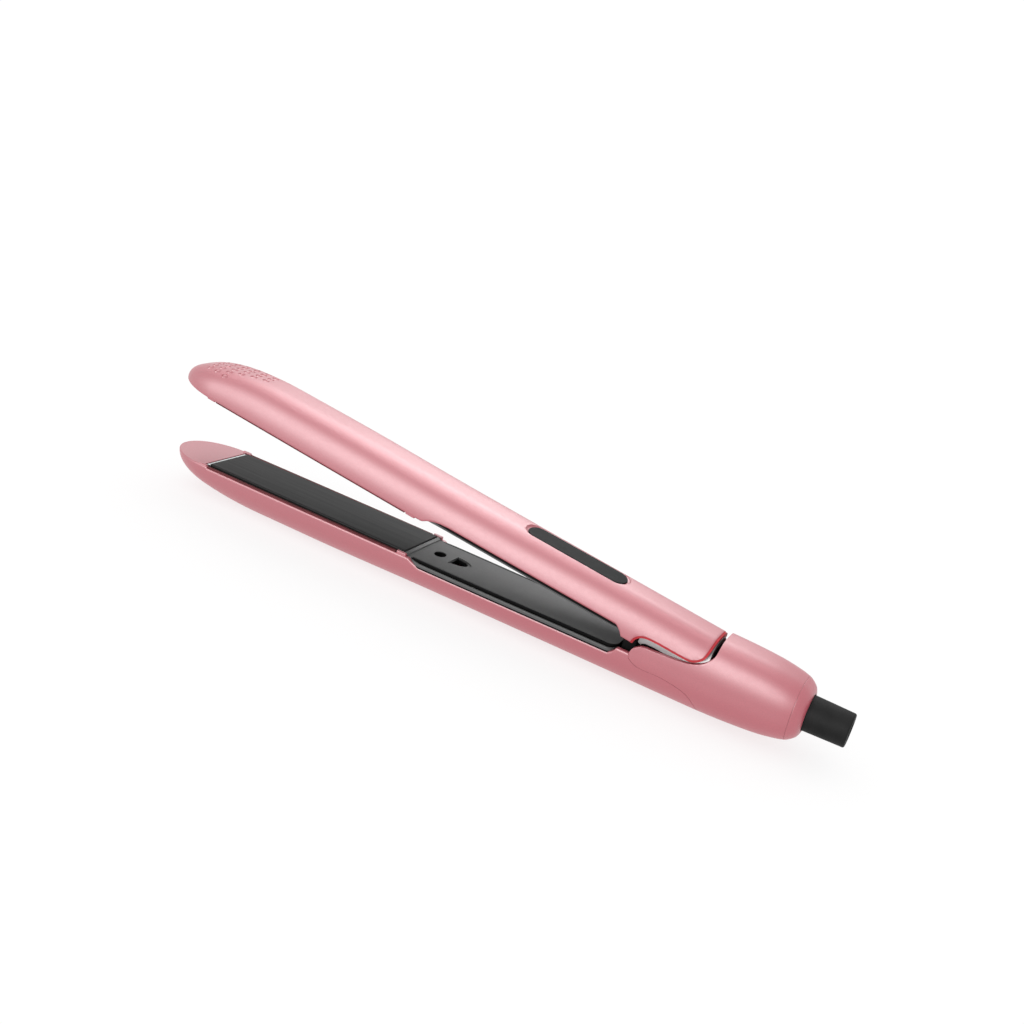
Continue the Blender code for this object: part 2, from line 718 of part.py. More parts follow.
def end_cap():
    """Rounded rear cap with the hole that the cord sleeve turns in."""
    rings = [full_ring(HOUSING_REAR_X + FIT)]
    for x in (0.1285, 0.1296, 0.1304, CAP_REAR_X):
        rings.append(full_ring(x))
    cap = loft(rings)
    hollow = rod((0.1260, 0.0, MID_Z), (0.1290, 0.0, MID_Z), 0.0078, sides=32, end_radius=0.0072)
    bore = rod((0.1280, 0.0, MID_Z), (0.1320, 0.0, MID_Z), SLEEVE_RADIUS + FIT, sides=32)
    return cut(cap, hollow, bore)


# ---------------------------------------------------------------- cord swivel

SLEEVE_RADIUS = 0.0061
SLEEVE_END_RADIUS = 0.0057
CORD_BORE_RADIUS = 0.0030
CONTACT_HUB_RADIUS = 0.0070


def swivel_sleeve():
    """Black sleeve that turns in the end cap; the cord passes through its bore."""
    profile = ((0.1272, CORD_BORE_RADIUS), (SLEEVE_REAR_X, CORD_BORE_RADIUS),
               (SLEEVE_REAR_X, SLEEVE_END_RADIUS - 0.0006), (SLEEVE_REAR_X - 0.0005, SLEEVE_END_RADIUS),
               (0.1292, SLEEVE_RADIUS), (0.1287, SLEEVE_RADIUS), (0.1287, 0.0068), (0.1272, 0.0070))
    return turned_about_x(profile, MID_Z)


def contact_hub():
    """Fixed plug inside the housing that feeds the two contact rings."""
    profile = ((0.1140, 0.0016), (0.1265, 0.0016), (0.1265, CONTACT_HUB_RADIUS - 0.0015),
               (0.1190, CONTACT_HUB_RADIUS - 0.0015), (0.1190, CONTACT_HUB_RADIUS),
               (0.1140, CONTACT_HUB_RADIUS))
    return turned_about_x(profile, MID_Z, steps=24)


def contact_ring(x_start):
    """Brass ring on the hub that carries one side of the supply."""
    inner = CONTACT_HUB_RADIUS - 0.0015 + FIT
    profile = ((x_start, inner), (x_start + 0.0022, inner), (x_start + 0.0022, inner + 0.0010),
               (x_start, inner + 0.0010))
    return turned_about_x(profile, MID_Z, steps=24)


# ---------------------------------------------------------------- window and electronics

WINDOW_FRONT_X = 0.0205
WINDOW_REAR_X = 0.0592
WINDOW_HALF_WIDTH = 0.0040
WINDOW_SINK = 0.00035
LENS_THICKNESS = 0.0017


def slot_outline(grow):
    """Long slot with round ends."""
    radius = WINDOW_HALF_WIDTH + grow
    points = []
    ends = ((WINDOW_REAR_X - WINDOW_HALF_WIDTH, -90), (WINDOW_FRONT_X + WINDOW_HALF_WIDTH, 90))
    for centre_x, first_turn in ends:
        for turn in range(first_turn, first_turn + 181, 20):
            angle = math.radians(turn)
            points.append((centre_x + radius * math.cos(angle), radius * math.sin(angle)))
    return points


def window_slot():
    """Cutter for the opening in the back of the upper shell."""
    return outline_solid(slot_outline(FIT), height(UPPER, 0.009), height(UPPER, 0.020))


def control_window():
    """Dark lens over the controls, set just below the shell."""
    top = depth(WINDOW_REAR_X) - WINDOW_SINK
    lens = outline_solid(slot_outline(0.0), height(UPPER, top - LENS_THICKNESS), height(UPPER, top))
    return bevel(lens, 0.0002, segments=1)


def control_board():
    """Circuit board with the touch controls, under the window."""
    level = depth(WINDOW_REAR_X) - WINDOW_SINK - LENS_THICKNESS - 0.0022
    return layer(UPPER, WINDOW_FRONT_X - 0.002, WINDOW_REAR_X + 0.002, 0.0060, level, 0.0012)


def display_module():
    """Temperature display between the board and the lens."""
    level = depth(WINDOW_REAR_X) - WINDOW_SINK - LENS_THICKNESS - 0.0007
    return layer(UPPER, WINDOW_FRONT_X + 0.006, WINDOW_FRONT_X + 0.024, 0.0030, level - 0.00005, 0.0004)


def power_board():
    """Supply board in the handle of the lower arm."""
    return layer(LOWER, 0.010, 0.062, 0.0070, 0.0080, 0.0014)


def thermal_fuse():
    """Cut-out that lies beside the leads of the lower heater."""
    return rod((-0.018, 0.0, height(LOWER, 0.0060)), (-0.008, 0.0, height(LOWER, 0.0060)), 0.0015, sides=16)


def power_capacitor():
    """Round capacitor lying on the supply board."""
    return rod((0.046, 0.0, height(LOWER, 0.0051)), (0.060, 0.0, height(LOWER, 0.0051)), 0.0023, sides=20)


def power_relay():
    """Block that switches the heaters."""
    return bevel(layer(LOWER, 0.020, 0.034, 0.0050, 0.0036, 0.0041), 0.0004, segments=1)


def cover_screw(x, y):
    """Short screw that holds the lower cover from inside."""
    top = height(LOWER, COVER_BOTTOM + FIT)
    head = rod((x, y, top - 0.0012), (x, y, top), 0.0020, sides=16)
    shank = rod((x, y, top - 0.0042), (x, y, top - 0.0010), 0.0010, sides=12)
    return join(head, shank)


# ---------------------------------------------------------------- assembly

def build_lower_arm():
    """Pieces that are fixed to the lower arm, and its floating heater."""
    finish(lower_shell(), "lower_shell", "rose_metallic")
    finish(lower_cover(), "lower_inner_cover", "cover_grey")
    heater_stack(LOWER, "lower", None)
    finish(heater_wire(LOWER, -0.0035), "lower_wire_live", "wire_red")
    finish(heater_wire(LOWER, 0.0035), "lower_wire_neutral", "wire_white")
    finish(power_board(), "power_board", "board_green")
    finish(power_capacitor(), "power_capacitor", "component_black")
    finish(power_relay(), "power_relay", "component_black")
    finish(thermal_fuse(), "thermal_fuse", "aluminium")
    finish(cover_screw(0.0400, 0.0), "cover_screw_front", "steel")
    finish(cover_screw(0.0645, 0.0), "cover_screw_rear", "steel")


def build_upper_arm(hinge):
    """Pieces that swing with the upper arm, and its floating heater."""
    finish(upper_shell(window_slot()), "upper_shell", "rose_metallic", hinge)
    finish(upper_cover(), "upper_inner_cover", "cover_grey", hinge)
    heater_stack(UPPER, "upper", hinge)
    finish(heater_wire(UPPER, -0.0035), "upper_wire_live", "wire_red", hinge)
    finish(heater_wire(UPPER, 0.0035), "upper_wire_neutral", "wire_white", hinge)
    finish(control_window(), "control_window", "window_dark", hinge)
    finish(control_board(), "control_board", "board_green", hinge)
    finish(display_module(), "display_module", "component_black", hinge)
    finish(hinge_block(), "hinge_block", "liner_silver", hinge)


def build_hinge():
    """Housing, pin, bushes, spring and the boot that carries the wires across."""
    finish(hinge_housing(), "hinge_housing", "rose_metallic")
    finish(rod((HINGE_X, -0.0094, MID_Z), (HINGE_X, 0.0094, MID_Z), PIN_ROD_RADIUS), "hinge_pin", "steel")
    for y_sign, name in ((-1, "hinge_bush_near"), (1, "hinge_bush_far")):
        finish(hinge_bush(y_sign), name, "brass")
    finish(torsion_spring(), "torsion_spring", "steel")
    finish(wire_boot(), "wire_boot", "component_black")


def build_swivel():
    """End cap, turning sleeve and the contacts behind it."""
    finish(end_cap(), "end_cap", "rose_metallic")
    swivel = joint_empty("cord_swivel", (CAP_REAR_X, 0.0, MID_Z))
    finish(swivel_sleeve(), "swivel_sleeve", "sleeve_black", swivel)
    finish(contact_hub(), "contact_hub", "component_black")
    finish(contact_ring(0.1196), "contact_ring_inner", "brass")
    finish(contact_ring(0.1226), "contact_ring_outer", "brass")


def main():
    """Build the whole object."""
    clear_scene()
    build_lower_arm()
    build_upper_arm(joint_empty("upper_arm_hinge", (HINGE_X, 0.0, MID_Z), (0.0, OPEN_ANGLE, 0.0)))
    build_hinge()
    build_swivel()


main()
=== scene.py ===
"""Looks of the hair straightener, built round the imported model. Metres, +Z up.

X runs from the noses (-X) to the cord sleeve (+X). The pieces of the upper arm are modelled
closed, as the mirror of the lower ones about the middle plane, and then swung open.
"""

import json
import math

import bmesh
import bpy
from mathutils import Matrix, Quaternion, Vector


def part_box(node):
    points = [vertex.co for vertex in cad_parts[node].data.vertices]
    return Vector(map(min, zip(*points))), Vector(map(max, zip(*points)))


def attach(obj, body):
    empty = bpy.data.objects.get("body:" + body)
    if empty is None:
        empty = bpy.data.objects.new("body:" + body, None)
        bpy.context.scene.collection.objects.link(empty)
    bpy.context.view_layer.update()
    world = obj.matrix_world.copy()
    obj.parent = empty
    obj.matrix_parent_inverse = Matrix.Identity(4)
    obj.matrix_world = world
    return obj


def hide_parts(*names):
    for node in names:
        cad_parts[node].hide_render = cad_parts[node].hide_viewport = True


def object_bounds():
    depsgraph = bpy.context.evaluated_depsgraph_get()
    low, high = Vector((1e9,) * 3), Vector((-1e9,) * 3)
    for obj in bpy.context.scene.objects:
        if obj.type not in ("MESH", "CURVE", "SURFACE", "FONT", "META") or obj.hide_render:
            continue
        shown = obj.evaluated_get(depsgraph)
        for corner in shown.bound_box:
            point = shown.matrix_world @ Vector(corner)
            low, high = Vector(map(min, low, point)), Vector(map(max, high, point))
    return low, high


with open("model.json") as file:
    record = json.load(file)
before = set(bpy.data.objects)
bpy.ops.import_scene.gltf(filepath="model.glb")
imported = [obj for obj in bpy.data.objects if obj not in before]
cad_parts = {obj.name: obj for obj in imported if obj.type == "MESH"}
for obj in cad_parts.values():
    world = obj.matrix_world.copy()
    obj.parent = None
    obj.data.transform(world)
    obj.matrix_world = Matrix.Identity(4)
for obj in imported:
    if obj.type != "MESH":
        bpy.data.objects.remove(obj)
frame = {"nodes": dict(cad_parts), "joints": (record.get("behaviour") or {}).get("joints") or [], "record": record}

cad_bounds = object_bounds()

# ---------------------------------------------------------------- driving sizes

JOINTS = {joint["name"]: joint for joint in frame["joints"]}
HINGE = Vector(JOINTS["arm_hinge"]["pos_m"])
HINGE_X = HINGE.x
MID_Z = HINGE.z
OPEN_ANGLE = math.radians(-JOINTS["arm_hinge"]["range_deg"][0])
PLATE_LOW, PLATE_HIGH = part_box("lower_heater_plate")
CAP_LOW, CAP_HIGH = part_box("end_cap")
SLEEVE_REAR_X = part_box("swivel_sleeve")[1].x

NOSE_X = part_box("lower_shell")[0].x - 0.00004    # the first ring lies just behind the tip
PLATE_FRONT_X = PLATE_LOW.x
PLATE_REAR_X = PLATE_HIGH.x
COVER_REAR_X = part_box("lower_inner_cover")[1].x + 0.0002
CAP_FRONT_X = CAP_LOW.x
CAP_REAR_X = CAP_HIGH.x
RIM_GAP = 0.0015             # between the parting planes when the arms are closed
RIM_HEIGHT = MID_Z - RIM_GAP / 2
WALL = 0.0015
FIT = 0.0003                 # gap between pieces that touch
HAIRLINE = 0.00008           # gap of a closed seam between lacquered pieces
SLIGHT = 0.0001              # keeps faces of pieces that lie together out of one plane
PAST = 0.001                 # cutters that go through a piece reach at least this far past it

# Barrel shape shared by the arms and the housing: (x, value) stations.
HALF_WIDTHS = ((-0.121, 0.0134), (-0.006, 0.0127), (0.094, 0.0114), (0.104, 0.0116),
               (0.117, 0.0113), (0.125, 0.0107), (0.1275, 0.0101), (0.1292, 0.0091),
               (0.1304, 0.0079), (0.131, 0.0066))
DEPTHS = ((-0.066, RIM_HEIGHT), (-0.006, 0.0136), (0.094, 0.0132), (0.104, 0.0128),
          (0.117, 0.0118), (0.125, 0.0103), (0.1275, 0.0095), (0.1292, 0.0084),
          (0.1304, 0.0072), (0.131, 0.0058))
NOSE_WIDTH_LENGTH = 0.022    # the nose rounds off over this length in plan
NOSE_DEPTH_LENGTH = 0.050    # and over this length in profile
ROUNDNESS = 2.38             # superellipse exponent of the section
FLAT_SHARE = 0.984           # the back is planed flat at this share of its depth
FLAT_BLEND = 0.0004          # softens the edge of the planed strip
RIM_EDGE = 0.0005            # rounding of the parting edge
EDGE_DROP = 1.5              # this rounding is so many times deeper than it is wide
START_LIMIT = 0.95           # a section starts no further round than the turn with this sine
EDGE_BEVEL = 0.00018         # rounding of the cut edges of the shells
FINE_BEVEL = 0.00012         # and of the smaller pieces
BACK_STEPS = 32              # spaces round half the back of a section
FINE_BACK_STEPS = 64         # the same where the surface carries dimples
OUTLINE_STEPS = 120          # samples of the section before it is spaced evenly
EDGE_STEPS = 5               # points round the parting edge
ARC_STEPS = 6                # spaces round a small rounded corner
ACROSS = 0.02                # half-width of cutters that pass right through the object
BEHIND_X = 0.112             # cutters for the rear of the arms end here

LOWER = -1
UPPER = 1

# ---------------------------------------------------------------- mesh helpers


def new_object(name, mesh):
    """An object for the mesh, linked to the scene."""
    piece = bpy.data.objects.new(name, mesh)
    bpy.context.scene.collection.objects.link(piece)
    return piece


def mesh_from(bm, name):
    """Turn a bmesh into a mesh whose faces point outwards."""
    bmesh.ops.recalc_face_normals(bm, faces=bm.faces[:])
    mesh = bpy.data.meshes.new(name)
    bm.to_mesh(mesh)
    bm.free()
    return mesh


def settle(piece):
    """Bake the modifiers of a piece into its mesh."""
    bpy.context.view_layer.update()
    evaluated = piece.evaluated_get(bpy.context.evaluated_depsgraph_get())
    baked = bpy.data.meshes.new_from_object(evaluated)
    piece.modifiers.clear()
    piece.data = baked
    return piece


def combine(piece, other, operation):
    """Boolean of two pieces; the second one is used up."""
    modifier = piece.modifiers.new(operation.lower(), "BOOLEAN")
    modifier.operation = operation
    modifier.solver = "EXACT"
    modifier.object = other
    settle(piece)
    bpy.data.objects.remove(other, do_unlink=True)
    return piece


def cut(piece, *cutters):
    """Take the cutters out of the piece."""
    for cutter in cutters:
        combine(piece, cutter, "DIFFERENCE")
    return piece


def join(piece, *others):
    """Fuse the other shapes onto the piece."""
    for other in others:
        combine(piece, other, "UNION")
    return piece


def weld(piece, distance=0.00004):
    """Merge the near-coincident points that a Boolean leaves."""
    bm = bmesh.new()
    bm.from_mesh(piece.data)
    bmesh.ops.remove_doubles(bm, verts=bm.verts[:], dist=distance)
    bmesh.ops.dissolve_degenerate(bm, edges=bm.edges[:], dist=distance)
    piece.data = mesh_from(bm, piece.name)
    return piece


def bevel(piece, width, segments=3, angle=35.0):
    """Round the sharp edges of a shape."""
    modifier = piece.modifiers.new("bevel", "BEVEL")
    modifier.width = width
    modifier.segments = segments
    modifier.limit_method = "ANGLE"
    modifier.angle_limit = math.radians(angle)
    modifier.use_clamp_overlap = True
    modifier.harden_normals = False
    return settle(piece)


def smooth(piece, sharp=32.0):
    """Smooth shading that keeps sharp edges and leaves large flat faces flat."""
    piece.data.shade_smooth()
    piece.data.set_sharp_from_angle(angle=math.radians(sharp))
    modifier = piece.modifiers.new("weighted_normals", "WEIGHTED_NORMAL")
    modifier.keep_sharp = True
    modifier.weight = 50
    return settle(piece)


def swing_open(piece):
    """Turn a piece made in closed coordinates about the hinge to its place at rest."""
    to_hinge = Matrix.Translation(HINGE)
    piece.data.transform(to_hinge @ Matrix.Rotation(OPEN_ANGLE, 4, "Y") @ to_hinge.inverted())
    return piece


def show(piece, name, body, slot, replaced=None, look=None, side=LOWER):
    """Name a finished piece, give it the material of its slot or its own look, and put it on its body."""
    if side == UPPER:
        swing_open(piece)
    piece.name = name
    piece.data.name = name
    piece.data.materials.clear()
    piece.data.materials.append(MATERIALS[look or slot])
    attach(piece, body)
    if replaced:
        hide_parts(replaced)


# ---------------------------------------------------------------- basic shapes


def box(low, high):
    """A box between two corners."""
    low = Vector(low)
    high = Vector(high)
    placed = Matrix.Translation((low + high) / 2) @ Matrix.Diagonal((*(high - low), 1.0))
    bm = bmesh.new()
    bmesh.ops.create_cube(bm, size=1.0, matrix=placed)
    return new_object("box", mesh_from(bm, "box"))


def rod(start, end, radius, sides=48, end_radius=None):
    """A cylinder or cone between two points."""
    start = Vector(start)
    end = Vector(end)
    along = end - start
    turned = along.to_track_quat("Z", "Y").to_matrix().to_4x4()
    bm = bmesh.new()
    bmesh.ops.create_cone(bm, cap_ends=True, segments=sides, radius1=radius,
                          radius2=radius if end_radius is None else end_radius,
                          depth=along.length, matrix=Matrix.Translation((start + end) / 2) @ turned)
    return new_object("rod", mesh_from(bm, "rod"))


def loft(rings, closed_ends=True):
    """A closed solid through rings that all have the same number of points."""
    bm = bmesh.new()
    rows = [[bm.verts.new(place) for place in ring] for ring in rings]
    count = len(rows[0])
    for row, following in zip(rows, rows[1:]):
        for i in range(count):
            j = (i + 1) % count
            bm.faces.new((row[i], row[j], following[j], following[i]))
    if closed_ends:
        bm.faces.new(rows[0])
        bm.faces.new(rows[-1])
    return new_object("loft", mesh_from(bm, "loft"))


def outline_solid(points, low, high):
    """An outline of (x, y) points made solid between two heights."""
    return loft([[(x, y, level) for x, y in points] for level in (low, high)])


def side_solid(points):
    """A side view of (x, z) points made solid right across the object."""
    return loft([[(x, across, z) for x, z in points] for across in (-ACROSS, ACROSS)])


def turned_about_x(profile, steps=96):
    """A solid of revolution about the middle line, from a closed (x, radius) profile."""
    rings = []
    for step in range(steps):
        angle = 2 * math.pi * step / steps
        rings.append([(x, r * math.cos(angle), MID_Z + r * math.sin(angle)) for x, r in profile])
    return loft(rings + rings[:1], closed_ends=False)


def arc(centre, radius, start, end, steps):
    """(x, y) points on an arc between two angles in degrees, both ends included."""
    turns = [math.radians(start + (end - start) * step / steps) for step in range(steps + 1)]
    return [(centre[0] + radius * math.cos(t), centre[1] + radius * math.sin(t)) for t in turns]


# ---------------------------------------------------------------- the barrel shape


def slopes(stations):
    """Slope at each station that keeps the smooth line from overshooting."""
    rises = [(b[1] - a[1]) / (b[0] - a[0]) for a, b in zip(stations, stations[1:])]
    found = [0.0]
    for before, after in zip(rises, rises[1:]):
        same_way = before * after > 0
        found.append(2 * before * after / (before + after) if same_way else 0.0)
    found.append(rises[-1])
    return found


def at_station(stations, x):
    """Smooth value at x through the stations, level before the first."""
    if x <= stations[0][0]:
        return stations[0][1]
    tangents = slopes(stations)
    for i, ((x0, v0), (x1, v1)) in enumerate(zip(stations, stations[1:])):
        if x <= x1:
            span = x1 - x0
            t = (x - x0) / span
            return ((1 + 2 * t) * (1 - t) ** 2 * v0 + t * (1 - t) ** 2 * span * tangents[i]
                    + t * t * (3 - 2 * t) * v1 + t * t * (t - 1) * span * tangents[i + 1])
    return stations[-1][1]


def nose_rounding(x, length):
    """Share of the full size at x: an ellipse that closes at the tip of the nose."""
    inward = min(1.0, max(0.0, (x - NOSE_X) / length))
    return math.sqrt(1.0 - (1.0 - inward) ** 2)


def half_width(x):
    """Half the width of the barrel at x."""
    return at_station(HALF_WIDTHS, x) * nose_rounding(x, NOSE_WIDTH_LENGTH)


def depth(x):
    """Depth of one arm at x, from its parting plane to its back."""
    return at_station(DEPTHS, x) * nose_rounding(x, NOSE_DEPTH_LENGTH)


def soft_min(first, second, blend):
    """The smaller value, with a rounded change-over."""
    near = max(0.0, blend - abs(first - second)) / blend
    return min(first, second) - near * near * blend / 4


def spaced_evenly(line, spaces):
    """The same line with its points at equal distances along it."""
    travelled = [0.0]
    for (y0, d0), (y1, d1) in zip(line, line[1:]):
        travelled.append(travelled[-1] + math.hypot(y1 - y0, d1 - d0))
    even = [line[0]]
    i = 0
    for step in range(1, spaces):
        wanted = travelled[-1] * step / spaces
        while travelled[i + 1] < wanted:
            i += 1
        t = (wanted - travelled[i]) / (travelled[i + 1] - travelled[i])
        even.append((line[i][0] + t * (line[i + 1][0] - line[i][0]),
                     line[i][1] + t * (line[i + 1][1] - line[i][1])))
    return even + [line[-1]]


def back_points(x, inset=0.0, start_depth=0.0, spaces=BACK_STEPS):
    """(y, depth) points round the back of one arm at x, from +Y at start_depth to -Y."""
    width = half_width(x) - inset
    back = depth(x) - inset
    crown = back / FLAT_SHARE
    first = math.asin(min(START_LIMIT, (start_depth / crown) ** (ROUNDNESS / 2)))
    half = []
    for step in range(OUTLINE_STEPS + 1):
        turn = first + (math.pi / 2 - first) * step / OUTLINE_STEPS
        y = width * math.cos(turn) ** (2 / ROUNDNESS) if step < OUTLINE_STEPS else 0.0
        down = crown * math.sin(turn) ** (2 / ROUNDNESS)
        half.append((y, soft_min(down, back, FLAT_BLEND)))
    half = spaced_evenly(half, spaces)
    return half + [(-y, down) for y, down in reversed(half[:-1])]


def height(side, down):
    """World height of a level that lies this far inside an arm's parting plane."""
    return MID_Z + side * (RIM_GAP / 2 + down)


def between(side, first, second):
    """The two world heights of a layer, lowest first."""
    return sorted((height(side, first), height(side, second)))


def mirrored(half):
    """A whole outline from its +Y half."""
    return half + [(-y, down) for y, down in reversed(half)]


def placed_ring(x, side, outline):
    """World points of a (y, depth) outline at x."""
    return [(x, y, height(side, down)) for y, down in outline]


def arm_ring(x, side, top):
    """Ring of one arm at x: the flat parting face, its rounded edges and the back."""
    share = nose_rounding(x, NOSE_WIDTH_LENGTH)
    edge = RIM_EDGE * share
    shoulder = top + EDGE_DROP * edge
    spaces = FINE_BACK_STEPS if side == UPPER else BACK_STEPS
    back = back_points(x, start_depth=shoulder, spaces=spaces)
    width = back[0][0]
    rim = []
    for step in range(EDGE_STEPS):
        turn = math.pi / 2 * step / EDGE_STEPS
        down = top + EDGE_DROP * edge * (1.0 - math.cos(turn))
        rim.append((width - edge * (1.0 - math.sin(turn)), down))
    return placed_ring(x, side, rim + back + [(-y, down) for y, down in reversed(rim)])


def full_ring(x, inset=0.0):
    """Ring of the whole closed barrel at x."""
    half = back_points(x, inset)
    lower_half = [(y, height(LOWER, down)) for y, down in half]
    upper_half = [(-y, height(UPPER, down)) for y, down in half]
    return [(x, y, z) for y, z in lower_half + upper_half]


def smooth_line(points, steps=10):
    """A smooth line through the points, both ends included."""
    padded = [points[0], *points, points[-1]]
    line = []
    for before, start, end, after in zip(padded, padded[1:], padded[2:], padded[3:]):
        for step in range(steps):
            t = step / steps
            line.append(tuple(
                0.5 * (2 * b + (c - a) * t + (2 * a - 5 * b + 4 * c - d) * t ** 2
                       + (3 * b - a - 3 * c + d) * t ** 3)
                for a, b, c, d in zip(before, start, end, after)))
    line.append(points[-1])
    return line


def span(start, end, step):
    """Evenly spaced values from start to end, both included, about a step apart."""
    count = max(1, round((end - start) / step))
    return [start + (end - start) * i / count for i in range(count + 1)]


# Side views of the edges where the shells meet round the hinge, as (x, height over MID_Z).
EAR_TOP_LINE = ((0.1000, 0.0170), (0.1000, 0.0105), (0.0985, 0.0077), (0.0957, 0.0056),
                (0.0908, 0.0042), (0.0820, 0.0036), (0.0765, 0.0033), (0.0736, 0.0017),
                (0.0726, -0.0005))
SEAM_LINE = ((0.0726, -0.0005), (0.0733, -0.0026), (0.0770, -0.0043), (0.0860, -0.0044),
             (0.0940, -0.0062), (0.0975, -0.0095), (0.0990, -0.0130), (0.0994, -0.0170))
TAIL_LINE = ((0.0724, 0.0005), (0.0732, 0.0028), (0.0755, 0.0044), (0.0800, 0.0049),
             (0.0873, 0.0050), (0.0922, 0.0053), (0.0953, 0.0073), (0.0964, 0.0102),
             (0.0966, 0.0170))


def side_points(line):
    """A smooth side-view line in world (x, z)."""
    return [(x, MID_Z + up) for x, up in smooth_line(line)]


# ---------------------------------------------------------------- arm shells

RING_STEP = 0.0035           # between the rings of a shell where it runs straight
TAIL_STEP = 0.0025           # behind the inner cover
BEND_STEP = 0.0005           # where the rim bends
SHARP_STEP = 0.0002          # where the rim bends sharply
CUTTER_STEP = 0.006          # between the rings of long cutters
NOSE_TURNS = range(4, 88, 4)    # degrees round the nose at which its rings lie
LOWER_REAR_X = 0.1005        # the shells are made this long, then cut to their edge lines
UPPER_REAR_X = 0.0975
OVERCUT = 0.004              # cutters reach this far out of the parting plane
PLATE_WINDOW_X = PLATE_FRONT_X - 0.0022
CAVITY_START = 0.001         # the rounded inside of the cavity begins at this depth
REBATE_WALL = 0.00048        # what is left of the rim beside the plates
REBATE_DEPTH = 0.0014
REBATE_STEP = 0.005
REBATE_START_X = PLATE_FRONT_X + 0.0004
REBATE_END_X = PLATE_REAR_X - 0.0028
SHADE_STRIP_OVERHANG = 0.0004       # the maroon painted-shade strip beside the plate reaches this far in from the wall
SHADE_STRIP_TOPS = {LOWER: 0.0001, UPPER: -0.0005}
RIM_DROPS = {LOWER: 0.0007, UPPER: 0.0001}    # the rim beside the plate lies this much deeper
RIM_DROP_START_X = PLATE_FRONT_X + 0.0003
RIM_DROP_END_X = PLATE_FRONT_X + 0.0010
PAD_STARTS = (PLATE_FRONT_X - 0.0040, PLATE_REAR_X - 0.0024)
PAD_LENGTH = 0.0042
PAD_WIDTH = 0.0013
PAD_PROUD = 0.0005           # the pads stand this far out of the parting plane
PAD_ROOT = 0.0020
PAD_ROUNDING = 0.0004
RIM_STEP_DEPTH = 0.0030
RIM_STEP_LINES = {           # (x, depth) stations
    LOWER: ((-0.0180, RIM_DROPS[LOWER]), (-0.0160, 0.0016), (-0.0125, RIM_STEP_DEPTH)),
    UPPER: ((-0.0162, RIM_DROPS[UPPER]), (-0.0132, 0.0014), (-0.0095, 0.0025),
            (-0.0045, RIM_STEP_DEPTH)),
}
RIM_RISE_LINE = ((COVER_REAR_X - 0.0026, RIM_STEP_DEPTH), (COVER_REAR_X - 0.0005, 0.0018),
                 (COVER_REAR_X + 0.0009, 0.0))


def rim_top(x, side):
    """Depth of the rim below the parting plane at x.

    It steps down a little beside the plate and further beside the inner cover.
    """
    if x < RIM_DROP_END_X:
        return at_station(((RIM_DROP_START_X, 0.0), (RIM_DROP_END_X, RIM_DROPS[side])), x)
    if x < RIM_STEP_LINES[side][-1][0]:
        return at_station(RIM_STEP_LINES[side], x)
    if x > RIM_RISE_LINE[0][0]:
        return at_station(RIM_RISE_LINE, x)
    return RIM_STEP_DEPTH


def shell_stations(side, rear_x):
    """Places of the rings along an arm, closest together where its shape turns."""
    nose = [NOSE_X + NOSE_WIDTH_LENGTH * (1.0 - math.cos(math.radians(turn))) for turn in NOSE_TURNS]
    step_start = RIM_STEP_LINES[side][0][0]
    step_end = RIM_STEP_LINES[side][-1][0]
    rise_start = RIM_RISE_LINE[0][0]
    rise_end = RIM_RISE_LINE[-1][0]
    front = span(NOSE_X + NOSE_WIDTH_LENGTH, RIM_DROP_START_X - BEND_STEP, RING_STEP)
    drop = span(RIM_DROP_START_X, RIM_DROP_END_X, SHARP_STEP)
    plate = span(RIM_DROP_END_X + BEND_STEP, step_start, RING_STEP)
    step = span(step_start + BEND_STEP, step_end, BEND_STEP)
    cover = span(step_end + 4 * BEND_STEP, rise_start, RING_STEP)
    rise = span(rise_start + SHARP_STEP, rise_end, SHARP_STEP)
    tail = span(rise_end + 2 * BEND_STEP, rear_x, TAIL_STEP)
    stations = nose + front + drop + plate + step + cover + rise + tail
    if side == LOWER:
        return stations
    fine = span(DIMPLE_FRONT_X, DIMPLE_REAR_X, DIMPLE_MESH_STEP)
    margin = 2 * DIMPLE_MESH_STEP
    before = [x for x in stations if x < DIMPLE_FRONT_X - margin]
    return before + fine + [x for x in stations if x > DIMPLE_REAR_X + margin]


def cavity(side, rear_x):
    """Cutter for the inside of an arm behind the nose."""
    rings = []
    for x in span(PLATE_WINDOW_X, rear_x, CUTTER_STEP):
        back = back_points(x, inset=WALL, start_depth=CAVITY_START)
        width = back[0][0]
        rings.append(placed_ring(x, side, [(width, -OVERCUT)] + back + [(-width, -OVERCUT)]))
    return loft(rings)


def rim_rebate(side):
    """Cutter that thins the rim beside the floating plate."""
    rings = []
    for x in span(REBATE_START_X, REBATE_END_X, REBATE_STEP):
        half = half_width(x) - REBATE_WALL
        rings.append(placed_ring(x, side, mirrored([(half, -OVERCUT), (half, REBATE_DEPTH)])))
    return loft(rings)


def plate_shade_strip(side):
    """Maroon strip in the rebates on both sides of the plate: painted shade for the shaded pink ledge there."""
    top = SHADE_STRIP_TOPS[side]
    bottom = REBATE_DEPTH - SLIGHT
    strips = []
    for y_sign in (-1, 1):
        rings = []
        for x in span(REBATE_START_X + 2 * SLIGHT, REBATE_END_X - 2 * SLIGHT, CUTTER_STEP):
            outer = y_sign * (half_width(x) - REBATE_WALL - SLIGHT)
            inner = y_sign * (half_width(x) - WALL - SHADE_STRIP_OVERHANG)
            section = [(outer, top), (outer, bottom), (inner, bottom), (inner, top + 2 * SLIGHT)]
            rings.append(placed_ring(x, side, section))
        strips.append(loft(rings))
    return smooth(join(*strips))


